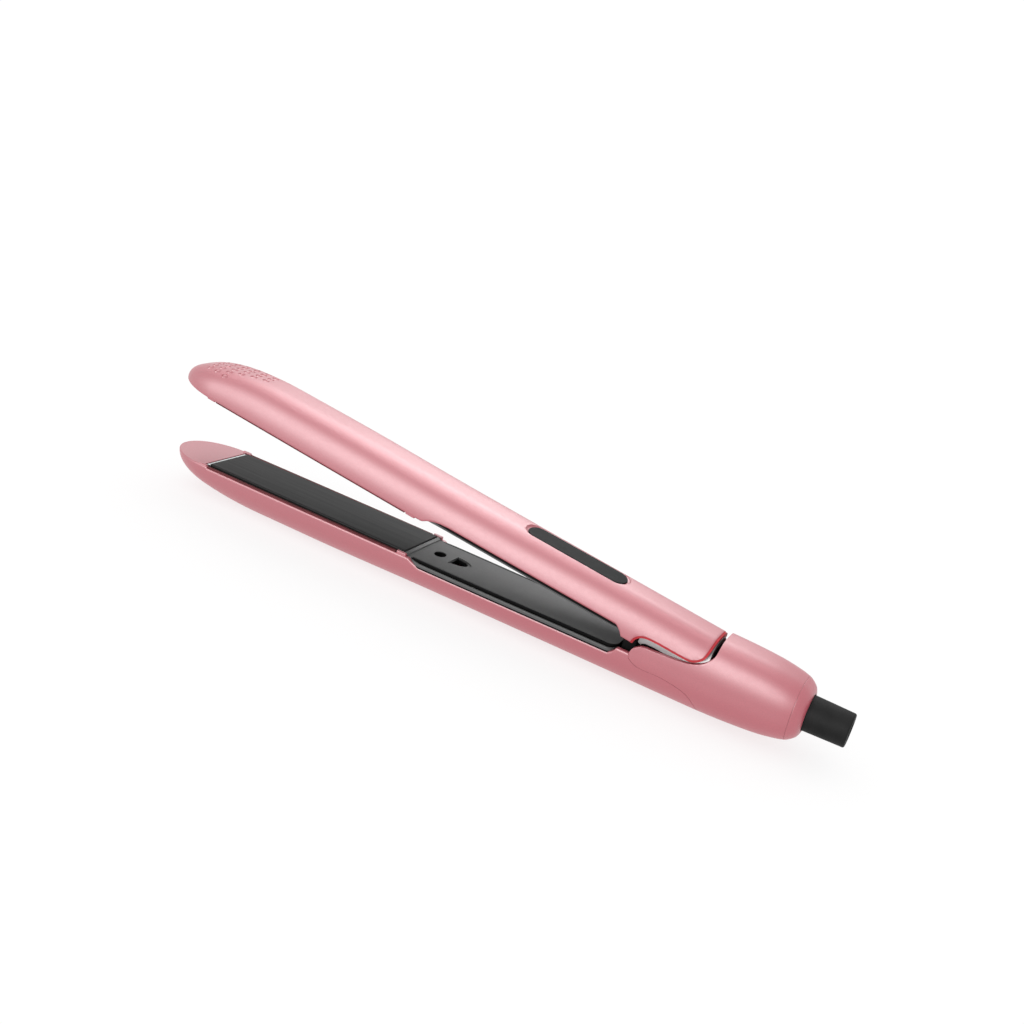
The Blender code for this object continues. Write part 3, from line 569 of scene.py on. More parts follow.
def bumper(side, x_start, y_sign):
    """A small rounded pad on the rim that keeps the arms apart beside the plates."""
    half = PAD_WIDTH / 2
    centre = y_sign * (half_width(x_start) - WALL + half)
    low, high = between(side, -PAD_PROUD, PAD_ROOT)
    pad = box((x_start, centre - half, low), (x_start + PAD_LENGTH, centre + half, high))
    return bevel(pad, PAD_ROUNDING, 4)


def bumpers(side):
    """The four pads of one arm."""
    pads = [bumper(side, x_start, y_sign) for x_start in PAD_STARTS for y_sign in (-1, 1)]
    return smooth(join(pads[0], *pads[1:]), 50)


def arm_shell(side, rear_x):
    """Hollow shell of one arm."""
    shell = loft([arm_ring(x, side, rim_top(x, side)) for x in shell_stations(side, rear_x)])
    return cut(shell, cavity(side, rear_x + 5 * PAST), rim_rebate(side))


def lower_shell():
    """Lower arm shell, ending at the S-shaped seam of the hinge housing."""
    shell = arm_shell(LOWER, LOWER_REAR_X)
    seam = [(x - HAIRLINE, z - HAIRLINE) for x, z in side_points(SEAM_LINE)]
    region = seam + [(BEHIND_X, -OVERCUT), (BEHIND_X, 2 * MID_Z), (seam[0][0], 2 * MID_Z)]
    cut(shell, side_solid(region))
    return smooth(bevel(weld(shell), EDGE_BEVEL, 2))


# Dimples on the nose of the upper arm, on a grid that is staggered from column to column.
DIMPLE_FIRST_X = -0.1315
DIMPLE_COLUMNS = 6
DIMPLE_PITCH_X = 0.0051
DIMPLE_PITCH_ROUND = 0.00275
DIMPLE_LENGTH = 0.0032
DIMPLE_WIDTH = 0.0022
DIMPLE_DEPTH = 0.00062
DIMPLE_REACH = 0.0099        # the longest column goes this far round from the crown
DIMPLE_LONGEST = 2           # its number
DIMPLE_TAPER_FRONT = 0.27    # loss of reach per metre in front of it
DIMPLE_TAPER_REAR = 0.42     # and behind it
DIMPLE_ROWS = 4
DIMPLE_SEGMENTS = 28
DIMPLE_MESH_STEP = 0.0004
DIMPLE_MARGIN = 0.0020
DIMPLE_FRONT_X = DIMPLE_FIRST_X - DIMPLE_MARGIN
DIMPLE_REAR_X = DIMPLE_FIRST_X + (DIMPLE_COLUMNS - 1) * DIMPLE_PITCH_X + DIMPLE_MARGIN


def surface_place(x, side, round_distance):
    """Point and outward normal of an arm's back, at a distance round it from its crown."""
    half = [(y, down) for y, down in back_points(x) if y >= 0][::-1]
    across = math.copysign(1.0, round_distance)
    left = abs(round_distance)
    nearby = 0.001
    for (y0, d0), (y1, d1) in zip(half, half[1:]):
        step = math.hypot(y1 - y0, d1 - d0)
        if left <= step:
            t = left / step
            point = Vector((x, across * (y0 + (y1 - y0) * t), height(side, d0 + (d1 - d0) * t)))
            lean = (depth(x + nearby) - depth(x - nearby)) / (2 * nearby)
            normal = Vector((-lean, across * (d0 - d1) / step, side * (y1 - y0) / step))
            return point, normal.normalized()
        left -= step
    raise ValueError("the place is past the parting edge")


def dimple_reach(column):
    """How far round the back a column of dimples goes."""
    past = (column - DIMPLE_LONGEST) * DIMPLE_PITCH_X
    return DIMPLE_REACH - (DIMPLE_TAPER_REAR if past > 0 else DIMPLE_TAPER_FRONT) * abs(past)


def dimple_places():
    """(x, distance round the back) of every dimple."""
    places = []
    for column in range(DIMPLE_COLUMNS):
        offset = 0.5 if column % 2 == 0 else 0.0
        for row in range(-DIMPLE_ROWS, DIMPLE_ROWS + 1):
            round_distance = (row + offset) * DIMPLE_PITCH_ROUND
            if abs(round_distance) <= dimple_reach(column):
                places.append((DIMPLE_FIRST_X + column * DIMPLE_PITCH_X, round_distance))
    return places


def dimples():
    """Cutter for all the dimples: flattened spheres centred on the surface."""
    bm = bmesh.new()
    scaled = Matrix.Diagonal((DIMPLE_LENGTH / 2, DIMPLE_WIDTH / 2, DIMPLE_DEPTH, 1.0))
    for x, round_distance in dimple_places():
        point, normal = surface_place(x, UPPER, round_distance)
        across = normal.cross(Vector((1.0, 0.0, 0.0))).normalized()
        along = across.cross(normal).normalized()
        turned = Matrix((along, across, normal)).transposed().to_4x4()
        bmesh.ops.create_uvsphere(bm, u_segments=DIMPLE_SEGMENTS, v_segments=DIMPLE_SEGMENTS // 2,
                                  radius=1.0, matrix=Matrix.Translation(point) @ turned @ scaled)
    return new_object("dimples", mesh_from(bm, "dimples"))


SHADE_BAND_WIDTH = 0.0008          # painted shade: a deep rose band along the edge of the tail, standing in for the red shade of the gap beneath it
SHADE_BAND_SINK = 0.0002
SHADE_BAND_ROUNDING = 0.0002
SHADE_BAND_STEP = 0.0012
TAIL_FRONT_X = 0.0700        # the tail's inner pieces begin in front of its edge line
TAIL_CUT_LOW = 0.005         # heights between which the tail's cutters reach
TAIL_CUT_HIGH = 0.040


def tail_region(inward):
    """Cutter for all that lies outside the tail's edge line, moved inward by a distance."""
    tail = side_points(TAIL_LINE)
    moved = []
    for (x0, z0), (x, z), (x1, z1) in zip([tail[0]] + tail, tail, tail[1:] + [tail[-1]]):
        length = math.hypot(x1 - x0, z1 - z0)
        moved.append((x - inward * (z1 - z0) / length, z + inward * (x1 - x0) / length))
    corners = [(moved[-1][0], TAIL_CUT_HIGH), (BEHIND_X, TAIL_CUT_HIGH),
               (BEHIND_X, TAIL_CUT_LOW), (moved[0][0], TAIL_CUT_LOW)]
    return side_solid(moved + corners)


def upper_shell():
    """Upper arm shell, with the window slot, its scooped rim, the dimples and the tail."""
    shell = cut(arm_shell(UPPER, UPPER_REAR_X), tail_region(SHADE_BAND_WIDTH), window_opening())
    return smooth(cut(bevel(weld(shell), EDGE_BEVEL, 2), dimples()))


def tail_painted_shade_band():
    """Painted shade: a deep rose band along the edge of the tail, set a little under its surface, for the red
    shade of the gap beneath it.
    """
    stations = span(TAIL_FRONT_X, UPPER_REAR_X, SHADE_BAND_STEP)
    band = loft([placed_ring(x, UPPER, back_points(x, SHADE_BAND_SINK)) for x in stations])
    inside = []
    for x in span(TAIL_FRONT_X - PAST, UPPER_REAR_X + 1.5 * PAST, SHADE_BAND_STEP):
        back = back_points(x, WALL)
        width = back[0][0]
        inside.append(placed_ring(x, UPPER, [(width, -OVERCUT), *back[1:-1], (-width, -OVERCUT)]))
    cut(band, loft(inside), tail_region(0.0))
    combine(band, tail_region(SHADE_BAND_WIDTH + SLIGHT), "INTERSECT")
    return smooth(bevel(weld(band), SHADE_BAND_ROUNDING, 2))


# ---------------------------------------------------------------- control window

WINDOW_FRONT_X = 0.0202
WINDOW_REAR_X = 0.0600
WINDOW_HALF_WIDTH = 0.0041
WINDOW_SINK = 0.00022
WINDOW_CUT_DEPTH = 0.009
LENS_THICKNESS = 0.0017
LENS_EDGE = ((0.00022, 0.0), (0.00006, -0.00006), (0.0, -0.00022))    # (depth, growth) of its rounding
ROUND_END_STEPS = 20
SCOOP_SIDE = 0.00036         # width of the scooped rim beside the window
SCOOP_END = 0.0009           # and its extra length at the ends
SCOOP_LEVELS = ((0.00075, 0.0, 0.0), (0.00070, 0.25, 0.3), (0.00052, 0.65, 0.7), (0.00010, 1.0, 1.0),
                (-OVERCUT, 1.0, 1.0))    # (depth, share of the width, share of the length)


def slot_outline(grow, longer=0.0):
    """Long slot with round ends; longer stretches only its length."""
    radius = WINDOW_HALF_WIDTH + grow
    rear = (WINDOW_REAR_X - WINDOW_HALF_WIDTH + longer, 0.0)
    front = (WINDOW_FRONT_X + WINDOW_HALF_WIDTH - longer, 0.0)
    return arc(rear, radius, -90, 90, ROUND_END_STEPS) + arc(front, radius, 90, 270, ROUND_END_STEPS)


def window_opening():
    """Cutter for the slot with its scooped rim."""
    surface = depth(WINDOW_REAR_X)
    rings = []
    for sunk, share, end_share in ((surface - WINDOW_CUT_DEPTH, 0.0, 0.0), *SCOOP_LEVELS):
        outline = slot_outline(HAIRLINE + share * SCOOP_SIDE, end_share * SCOOP_END)
        rings.append([(x, y, height(UPPER, surface - sunk)) for x, y in outline])
    return loft(rings)


def window_lens():
    """Dark lens over the controls: a flat slab with a rounded top edge."""
    top = depth(WINDOW_REAR_X) - WINDOW_SINK
    rings = []
    for sunk, grow in ((LENS_THICKNESS, 0.0), *LENS_EDGE):
        rings.append([(x, y, height(UPPER, top - sunk)) for x, y in slot_outline(grow)])
    return smooth(loft(rings), 40)


# ---------------------------------------------------------------- inner covers

COVER_FRONT_X = PLATE_REAR_X + 0.0004
COVER_TOP = 0.0005
COVER_BOTTOM = RIM_STEP_DEPTH - FIT
COVER_FRONT_END_X = -0.0114
LIP_START = 0.0009           # rim depth at which the lip begins
LIP_START_X = -0.0172
LIP_TOP = 0.0012
LIP_FOOT = 0.0024
LIP_UNDERCUT = 0.0003
LIP_LEAST = 0.04             # share of its full size at which the lip begins
GROOVE_BOTTOM = 0.0023
SHOULDER = 0.0006            # rounding of the platform's edge
FRONT_SHOULDER = 0.0005
FRONT_BAND = ((0.0, 0.0008), (0.0013, 0.0004), (0.0015, 0.0))    # (distance behind the front, rise)
COVER_STEP = 0.005           # between the sections of a cover where it runs straight
COVER_END_RADIUS = 0.0030
COVER_END_TURNS = range(8, 89, 8)    # degrees round it at which its sections lie
# painted shade: width of the black frame under the cover's edge
SHADE_FRAME_BAND = 0.0008
GROOVE_WIDTH = 0.0008
SHADE_FRAME_WIDTH = 0.0006          # painted shade: black strip that shows in the groove and under the lip, where shade falls
UPPER_RECESS = 0.0005        # the upper cover lies this much deeper
PIN_X = -0.0116
PIN_RADIUS = 0.0020
PIN_HEIGHT = 0.0026          # the pin and the lug stand this far out of the parting plane
LUG_HEIGHT = 0.0018
LUG_ROOT = 0.0020
LUG_FIT = 0.0006             # the lug is this much smaller than its pocket all round
LUG_STEPS = 14
HOLE_RADIUS = PIN_RADIUS + 0.0004
HOLE_ABOVE = 0.0020          # levels between which the cutters of the hole and pocket reach
HOLE_BELOW = 0.0050
DEEP_SHARE = 0.80            # size of the deep part of the pocket to that of the whole
DEEP_SHIFT = 0.0006          # it lies this far to the far side
DEEP_CENTRE = 0.004          # it shrinks towards a point this far behind the pocket's front
# painted shade: thickness of the black sheets in the hole and the pocket
WELL_SHADE_SHEET = 0.0002
WELL_SHADE_FIT = 0.00002
WELL_SHRINKS = (0.005, 0.06)    # loss of share of the shade sheet's outer and inner outline
PIN_ROUNDING = 0.0003
LUG_ROUNDING = 0.0002
LUG_FRONT_X = -0.0056
LUG_REAR_X = 0.0018
LUG_HALF_WIDTH = 0.0034
SHELF_DEPTH = 0.00045


def recess_of(side):
    """How much deeper than the lower cover the cover of this arm lies."""
    return UPPER_RECESS if side == UPPER else 0.0


def cover_edges(x, side):
    """Y of the platform's wall and the lip's inner and outer side, and the depth of its top.

    The lip and the groove grow out of a point where the rim steps down.
    """
    platform = half_width(x) - WALL - FIT
    full = back_points(x, start_depth=LIP_TOP)[0][0] - HAIRLINE
    stepped = rim_top(min(x, 0.0), side)
    share = max(LIP_LEAST, (stepped - LIP_START) / (RIM_STEP_DEPTH - LIP_START))
    lip_outer = platform + (full - platform) * math.sqrt(share)
    lip_top = stepped - (RIM_STEP_DEPTH - LIP_TOP - recess_of(side)) * share
    return platform, platform + GROOVE_WIDTH * share, lip_outer, lip_top


def cover_ring(x, side, squeeze):
    """Section of the cover at x; squeeze narrows it towards its rounded end."""
    *edges, lip_top = cover_edges(x, side)
    platform, lip_inner, lip_outer = (edge - squeeze for edge in edges)
    top = COVER_TOP + recess_of(side)
    wall = platform - SHADE_FRAME_WIDTH
    bead = (lip_outer - lip_inner) / 2
    foot = min(COVER_BOTTOM - SLIGHT, max(LIP_FOOT, lip_top + bead + SLIGHT))
    groove = GROOVE_BOTTOM + SLIGHT
    under = lip_outer - LIP_UNDERCUT
    shoulder = arc((wall - SHOULDER, top + SHOULDER), SHOULDER, -90, 0, ARC_STEPS)
    lip = arc((lip_outer - bead, lip_top + bead), bead, 180, 360, 2 * ARC_STEPS)
    half = [*shoulder, (wall, groove), (lip_inner, groove), *lip,
            (lip_outer, foot), (under, foot), (under, COVER_BOTTOM)]
    return placed_ring(x, side, mirrored(half))


def shade_frame_ring(x, side, squeeze):
    """Section of the black painted-shade frame at x."""
    *edges, _ = cover_edges(x, side)
    platform, _, lip_outer = (edge - squeeze for edge in edges)
    outer = lip_outer - SLIGHT
    half = [(platform, COVER_TOP + recess_of(side) + 2 * SLIGHT), (platform, GROOVE_BOTTOM),
            (outer, GROOVE_BOTTOM), (outer, RIM_STEP_DEPTH)]
    return placed_ring(x, side, mirrored(half))


def cover_stations():
    """Places of the sections of a cover, each with how far its rounded rear end has closed."""
    rear = COVER_REAR_X - 2 * SLIGHT - COVER_END_RADIUS
    places = [(x, 0.0) for x in span(LIP_START_X, COVER_FRONT_END_X, BEND_STEP)]
    places += [(x, 0.0) for x in span(COVER_FRONT_END_X + COVER_END_RADIUS, rear, COVER_STEP)]
    for turn in COVER_END_TURNS:
        angle = math.radians(turn)
        closed = COVER_END_RADIUS * (1.0 - math.cos(angle))
        places.append((rear + COVER_END_RADIUS * math.sin(angle), closed))
    return places


def cover_painted_shade_frame(side):
    """Black frame under the edge of the cover, open in the middle: painted shade in the groove and in the seam
    under the lip.
    """
    whole = loft([shade_frame_ring(x, side, squeeze) for x, squeeze in cover_stations()])
    inner = []
    for x, squeeze in cover_stations():
        half = cover_edges(x, side)[0] - SHADE_FRAME_BAND - squeeze
        ends = mirrored([(half, -PAST), (half, OVERCUT)])
        inner.append(placed_ring(x - SHADE_FRAME_BAND / 2, side, ends))
    return smooth(cut(whole, loft(inner)))


def cover_body(side):
    """Long part of the cover, with its beaded lip and its rounded rear end."""
    return loft([cover_ring(x, side, squeeze) for x, squeeze in cover_stations()])


def cover_front(side):
    """Front end of the cover between the rims, with a sloping band next to the plate."""
    rings = []
    for along, rise in (*FRONT_BAND, (LIP_START_X + 4 * SLIGHT - COVER_FRONT_X, 0.0)):
        x = COVER_FRONT_X + along
        top = COVER_TOP + recess_of(side) - rise
        width = half_width(x) - WALL - FIT
        shoulder = arc((width - FRONT_SHOULDER, top + FRONT_SHOULDER), FRONT_SHOULDER, -90, 0, ARC_STEPS)
        rings.append(placed_ring(x, side, mirrored(shoulder + [(width, COVER_BOTTOM)])))
    return loft(rings)


def lug_outline(grow=0.0):
    """Shield-shaped outline of the locating lug and its pocket."""
    front = LUG_FRONT_X - grow
    rear = LUG_REAR_X + grow
    half = []
    for step in range(LUG_STEPS):
        t = step / LUG_STEPS
        half.append((front + (rear - front) * math.sin(t * math.pi / 2),
                     (LUG_HALF_WIDTH + grow) * (1.0 - t ** 2)))
    return half + [(rear, 0.0)] + [(x, -y) for x, y in reversed(half)]


def deep_outline(shrink=0.0):
    """Outline of the deep part of the pocket, which leaves a shelf along its near side."""
    share = DEEP_SHARE - shrink
    front = LUG_FRONT_X + shrink * DEEP_CENTRE
    return [(front + share * (x - LUG_FRONT_X), share * y + DEEP_SHIFT) for x, y in lug_outline()]


def lower_cover():
    """Lower inner cover, with the round locating hole and the shield-shaped pocket."""
    cover = join(cover_body(LOWER), cover_front(LOWER))
    low, high = between(LOWER, -HOLE_ABOVE, HOLE_BELOW)
    hole = rod((PIN_X, 0.0, high), (PIN_X, 0.0, low), HOLE_RADIUS)
    shelf = outline_solid(lug_outline(WELL_SHADE_SHEET), height(LOWER, COVER_TOP + SHELF_DEPTH), high)
    cut(cover, hole, shelf, outline_solid(deep_outline(), low, high))
    return smooth(bevel(weld(cover), FINE_BEVEL, 2, 50))


def cover_well_shade():
    """Black sheets in the locating hole and the deep part of the pocket: painted shade where both fall dark."""
    low, high = between(LOWER, COVER_TOP + FIT, COVER_BOTTOM)
    sleeve = cut(rod((PIN_X, 0.0, low), (PIN_X, 0.0, high), HOLE_RADIUS - WELL_SHADE_FIT),
                 rod((PIN_X, 0.0, low - PAST), (PIN_X, 0.0, high + PAST), HOLE_RADIUS - WELL_SHADE_SHEET))
    outer, inner = (deep_outline(shrink) for shrink in WELL_SHRINKS)
    pocket = cut(outline_solid(outer, low, high - SHELF_DEPTH),
                 outline_solid(inner, low - PAST, high + PAST))
    return smooth(join(sleeve, pocket))


def upper_cover():
    """Upper inner cover, with the locating pin and the shield-shaped lug."""
    cover = join(cover_body(UPPER), cover_front(UPPER))
    root = (PIN_X, 0.0, height(UPPER, LUG_ROOT))
    pin = bevel(rod(root, (PIN_X, 0.0, height(UPPER, -PIN_HEIGHT)), PIN_RADIUS), PIN_ROUNDING, 2)
    levels = between(UPPER, LUG_ROOT, -LUG_HEIGHT)
    lug = bevel(outline_solid(lug_outline(-LUG_FIT), *levels), LUG_ROUNDING, 2, 60)
    return smooth(weld(join(cover, pin, lug)))


# ---------------------------------------------------------------- heater plates

PLATE_HALF_WIDTH = (PLATE_HIGH.y - PLATE_LOW.y) / 2
PLATE_PROUD = PLATE_HIGH.z - height(LOWER, 0.0)
PLATE_THICKNESS = PLATE_HIGH.z - PLATE_LOW.z
TRAY_HALF_WIDTH = 0.0096
TRAY_TOP = PLATE_THICKNESS - PLATE_PROUD + FIT
TRAY_THICKNESS = 0.0012
TRAY_FRONT_X = PLATE_FRONT_X - 0.0017
TRAY_ROUNDING = 0.00025
PLATE_ROUNDING = 0.0005


def layer(side, x_low, x_high, half, top, thickness):
    """A flat layer of the stack: from x_low to x_high, half wide to each side."""
    low, high = between(side, top, top + thickness)
    return box((x_low, -half, low), (x_high, half, high))


def heater_plate(side):
    """Ceramic-coated plate with rounded long edges and finely eased corners."""
    plate = layer(side, PLATE_FRONT_X, PLATE_REAR_X, PLATE_HALF_WIDTH, -PLATE_PROUD, PLATE_THICKNESS)
    return smooth(bevel(plate, PLATE_ROUNDING, 5))


def plate_carrier(side):
    """Aluminium tray under the plate; its front lip shows as a bright strip."""
    tray = layer(side, TRAY_FRONT_X, PLATE_REAR_X, TRAY_HALF_WIDTH, TRAY_TOP, TRAY_THICKNESS)
    tall = TRAY_TOP + TRAY_THICKNESS - 2 * SLIGHT
    lip = layer(side, TRAY_FRONT_X, PLATE_FRONT_X - FIT, PLATE_HALF_WIDTH, SLIGHT, tall)
    return smooth(bevel(join(tray, lip), TRAY_ROUNDING, 3))


# ---------------------------------------------------------------- hinge, housing and swivel

CAP_GAP = 0.00003
HOUSING_HALF_HEIGHT = 0.0170
BLOCK_INSET = 0.0017
BLOCK_REAR_X = 0.1000
BLOCK_ROUNDING = 0.0003
CORE_INSET = 0.0034
CORE_ROUNDING = 0.0002
LINER_SHOWS = 0.0024         # height of the silver band under the tail's edge
LINER_HALF_GAP = 0.0080      # the band is open between its two sides
FORK_HALF_GAP = 0.0042       # room for the spring between the fork's legs
FORK_FRONT_X = 0.0786
FORK_REAR_X = 0.1010
FORK_TOP = MID_Z + 0.0056
FORK_BOTTOM = MID_Z - 0.0100
KNUCKLE_RADIUS = 0.0062
HINGE_PIN_RADIUS = 0.0018
HINGE_PIN_END_Y = 0.0150
BUSH_RADIUS = 0.0036
BUSH_INNER_Y = 0.0072
BOOT_LOW = (0.0684, -0.0083, MID_Z - 0.0050)
BOOT_HIGH = (0.0737, 0.0083, MID_Z + 0.0046)
BOOT_CHANNEL_LOW = (0.0670, -0.0040, MID_Z - 0.0030)
BOOT_CHANNEL_HIGH = (0.0750, 0.0040, MID_Z + 0.0020)
BOOT_ROUNDING = 0.0009
CAP_HOLLOW_FRONT_X = 0.1260
CAP_HOLLOW_REAR_X = 0.1290
CAP_HOLLOW_RADII = (0.0078, 0.0072)
CAP_RING_STEP = 0.0003
CAP_SIDES = 64               # of the round hollow and bore
FLANGE_FRONT_X = 0.1272      # the sleeve's flange turns in the hollow of the cap
FLANGE_REAR_X = 0.1287
FLANGE_RADII = (0.0070, 0.0068)
SLEEVE_RADIUS = 0.0061
SLEEVE_END_RADIUS = 0.0057
SLEEVE_ROUNDING = 0.0006
CORD_BORE_RADIUS = 0.0030
BORE_STEPS = ((-0.0004, 0.0), (-0.0001, 0.0004), (0.0, 0.0007))    # (x, growth) of the bore's mouth


def barrel(x_start, x_end, inset=0.0, step=0.002):
    """Solid length of the closed barrel."""
    return loft([full_ring(x, inset) for x in span(x_start, x_end, step)])


def hinge_housing():
    """Rear housing: a barrel with two ears that reach forward past the hinge pin."""
    outer = barrel(TAIL_FRONT_X, CAP_FRONT_X - CAP_GAP)
    cut(outer, barrel(TAIL_FRONT_X - 5 * PAST, CAP_FRONT_X + 3 * PAST, WALL))
    front_edge = side_points(EAR_TOP_LINE) + side_points(SEAM_LINE)[1:]
    corners = [(CAP_REAR_X, MID_Z - HOUSING_HALF_HEIGHT), (CAP_REAR_X, MID_Z + HOUSING_HALF_HEIGHT)]
    combine(outer, side_solid(front_edge + corners), "INTERSECT")
    return smooth(bevel(weld(outer), EDGE_BEVEL, 2))


def hinge_block_outline():
    """Side view of the block: shoulders under the tail and a round knuckle on the pin."""
    knuckle = arc((HINGE_X, 0.0), KNUCKLE_RADIUS, 210, 360, 24)
    points = [(0.0738, 0.0125), (0.0738, 0.0015), (0.0790, -0.0005), *knuckle,
              (0.0976, 0.0060), (0.0966, 0.0125)]
    return [(x, MID_Z + up) for x, up in points]


def hinge_solid(inset):
    """The block inside the tail at an inset from the barrel's surface."""
    block = barrel(TAIL_FRONT_X, BLOCK_REAR_X, inset)
    return combine(block, side_solid(hinge_block_outline()), "INTERSECT")


def ring_bores():
    """Cutters for the bores of the two rings that centre the hinge pin."""
    return [rod((HINGE_X, y_sign * BUSH_INNER_Y, MID_Z), (HINGE_X, y_sign * HINGE_PIN_END_Y, MID_Z),
                BUSH_RADIUS + FIT) for y_sign in (-1, 1)]


def tail_liner():
    """Silver-grey band that lines the tail of the upper arm."""
    middle = box((FORK_FRONT_X, -LINER_HALF_GAP, FORK_BOTTOM), (FORK_REAR_X, LINER_HALF_GAP, FORK_TOP))
    liner = cut(hinge_solid(BLOCK_INSET), tail_region(-LINER_SHOWS), *ring_bores(), middle)
    return smooth(bevel(weld(liner), BLOCK_ROUNDING, 3))


def hinge_core():
    """Dark block under the liner, forked for the spring and bored for the pin and its rings; its black is painted
    shade for the dark gap under the silver band.
    """
    core = hinge_solid(CORE_INSET)
    gap = box((FORK_FRONT_X, -FORK_HALF_GAP, FORK_BOTTOM), (FORK_REAR_X, FORK_HALF_GAP, FORK_TOP))
    pin_bore = rod((HINGE_X, -HINGE_PIN_END_Y, MID_Z), (HINGE_X, HINGE_PIN_END_Y, MID_Z),
                   HINGE_PIN_RADIUS + FIT)
    cut(core, gap, pin_bore, *ring_bores())
    return smooth(bevel(weld(core), CORE_ROUNDING, 2))


def wire_boot():
    """Black block between the arms in front of the hinge, which carries the wires across."""
    boot = bevel(box(BOOT_LOW, BOOT_HIGH), BOOT_ROUNDING, 4)
    return smooth(cut(boot, box(BOOT_CHANNEL_LOW, BOOT_CHANNEL_HIGH)))


def end_cap():
    """Rounded rear cap with the hole that the cord sleeve turns in."""
    cap = loft([full_ring(x) for x in span(CAP_FRONT_X, CAP_REAR_X, CAP_RING_STEP)])
    front_radius, rear_radius = CAP_HOLLOW_RADII
    hollow = rod((CAP_HOLLOW_FRONT_X, 0.0, MID_Z), (CAP_HOLLOW_REAR_X, 0.0, MID_Z), front_radius,
                 CAP_SIDES, rear_radius)
    bore = rod((CAP_HOLLOW_REAR_X - PAST, 0.0, MID_Z), (CAP_REAR_X + PAST, 0.0, MID_Z),
               SLEEVE_RADIUS + FIT, CAP_SIDES)
    return smooth(bevel(weld(cut(cap, hollow, bore)), FINE_BEVEL, 2, 45))


def swivel_sleeve():
    """Black sleeve that turns in the end cap; the cord passes through its bore."""
    mouth = [(SLEEVE_REAR_X + along, CORD_BORE_RADIUS + grown) for along, grown in BORE_STEPS]
    corner = arc((SLEEVE_REAR_X - SLEEVE_ROUNDING, SLEEVE_END_RADIUS - SLEEVE_ROUNDING),
                 SLEEVE_ROUNDING, 0, 90, ARC_STEPS)
    front_radius, rear_radius = FLANGE_RADII
    flange = [(FLANGE_REAR_X + 0.0005, SLEEVE_RADIUS), (FLANGE_REAR_X, SLEEVE_RADIUS),
              (FLANGE_REAR_X, rear_radius), (FLANGE_FRONT_X, front_radius)]
    return smooth(turned_about_x([(FLANGE_FRONT_X, CORD_BORE_RADIUS), *mouth, *corner, *flange]))


# ---------------------------------------------------------------- materials


class Recipe:
    """Small helper that wires one procedural material."""

    def __init__(self, name, colour, roughness, metallic=0.0):
        self.material = bpy.data.materials.new(name)
        self.material.use_nodes = True
        self.tree = self.material.node_tree
        self.shader = self.tree.nodes["Principled BSDF"]
        self.shader.inputs["Base Color"].default_value = (*colour, 1.0)
        self.shader.inputs["Roughness"].default_value = roughness
        self.shader.inputs["Metallic"].default_value = metallic
        self.place = self.tree.nodes.new("ShaderNodeTexCoord").outputs["Object"]

    def set(self, **values):
        """Set uniform values on the shader's own sockets."""
        for label, value in values.items():
            self.shader.inputs[label.replace("_", " ")].default_value = value
        return self

    def noise(self, scale, stretch=(1.0, 1.0, 1.0), detail=3.0):
        """Noise in object space; stretch multiplies the scale per axis."""
        mapping = self.tree.nodes.new("ShaderNodeMapping")
        mapping.inputs["Scale"].default_value = stretch
        self.tree.links.new(self.place, mapping.inputs["Vector"])
        texture = self.tree.nodes.new("ShaderNodeTexNoise")
        texture.inputs["Scale"].default_value = scale
        texture.inputs["Detail"].default_value = detail
        self.tree.links.new(mapping.outputs["Vector"], texture.inputs["Vector"])
        return texture.outputs["Fac"]

    def colours(self, source, low, high, spread=0.18):
        """Drive the base colour between two colours."""
        ramp = self.tree.nodes.new("ShaderNodeValToRGB")
        for element, position, colour in zip(ramp.color_ramp.elements, (0.5 - spread, 0.5 + spread),
                                             (low, high)):
            element.position = position
            element.color = (*colour, 1.0)
        self.tree.links.new(source, ramp.inputs["Fac"])
        self.tree.links.new(ramp.outputs["Color"], self.shader.inputs["Base Color"])

    def roughness(self, source, low, high):
        """Drive the roughness between two values over the usual range of a noise."""
        node = self.tree.nodes.new("ShaderNodeMapRange")
        limits = {"From Min": 0.3, "From Max": 0.7, "To Min": low, "To Max": high}
        for label, value in limits.items():
            node.inputs[label].default_value = value
        self.tree.links.new(source, node.inputs["Value"])
        self.tree.links.new(node.outputs["Result"], self.shader.inputs["Roughness"])

    def bump(self, source, distance, strength):
        """Relief from a source, its height in metres."""
        node = self.tree.nodes.new("ShaderNodeBump")
        node.inputs["Strength"].default_value = strength
        node.inputs["Distance"].default_value = distance
        self.tree.links.new(source, node.inputs["Height"])
        self.tree.links.new(node.outputs["Normal"], self.shader.inputs["Normal"])
        return self


def shade(colour, factor):
    """A colour made lighter or darker."""
    return tuple(min(1.0, channel * factor) for channel in colour)


def finish(name, base, shades, mottle, grain, rough, relief, metallic=0.0, swell=None, **values):
    """A material whose colour follows one noise, and whose gloss and relief follow a finer one.

    shades and rough are ranges, mottle and grain are the arguments of their noise, and swell is
    a noise of its own for the relief.
    """
    recipe = Recipe(name, base, sum(rough) / 2, metallic).set(**values)
    recipe.colours(recipe.noise(*mottle), *(shade(base, factor) for factor in shades))
    fine = recipe.noise(*grain)
    recipe.roughness(fine, *rough)
    return recipe.bump(recipe.noise(*swell) if swell else fine, *relief).material


ALONG = (0.03, 1.0, 1.0)     # stretches a noise into lengthwise lines
EVEN = (1.0, 1.0, 1.0)


def lacquer(name, base):
    """Satin lacquer: fine flake, faint orange peel and a slight drift of colour."""
    return finish(name, base, (0.94, 1.06), (3800.0, EVEN, 1.0), (900.0,), (0.45, 0.52), (0.000004, 0.5),
                  swell=(420.0,), Specular_IOR_Level=0.9, Coat_Weight=0.7, Coat_Roughness=0.45)


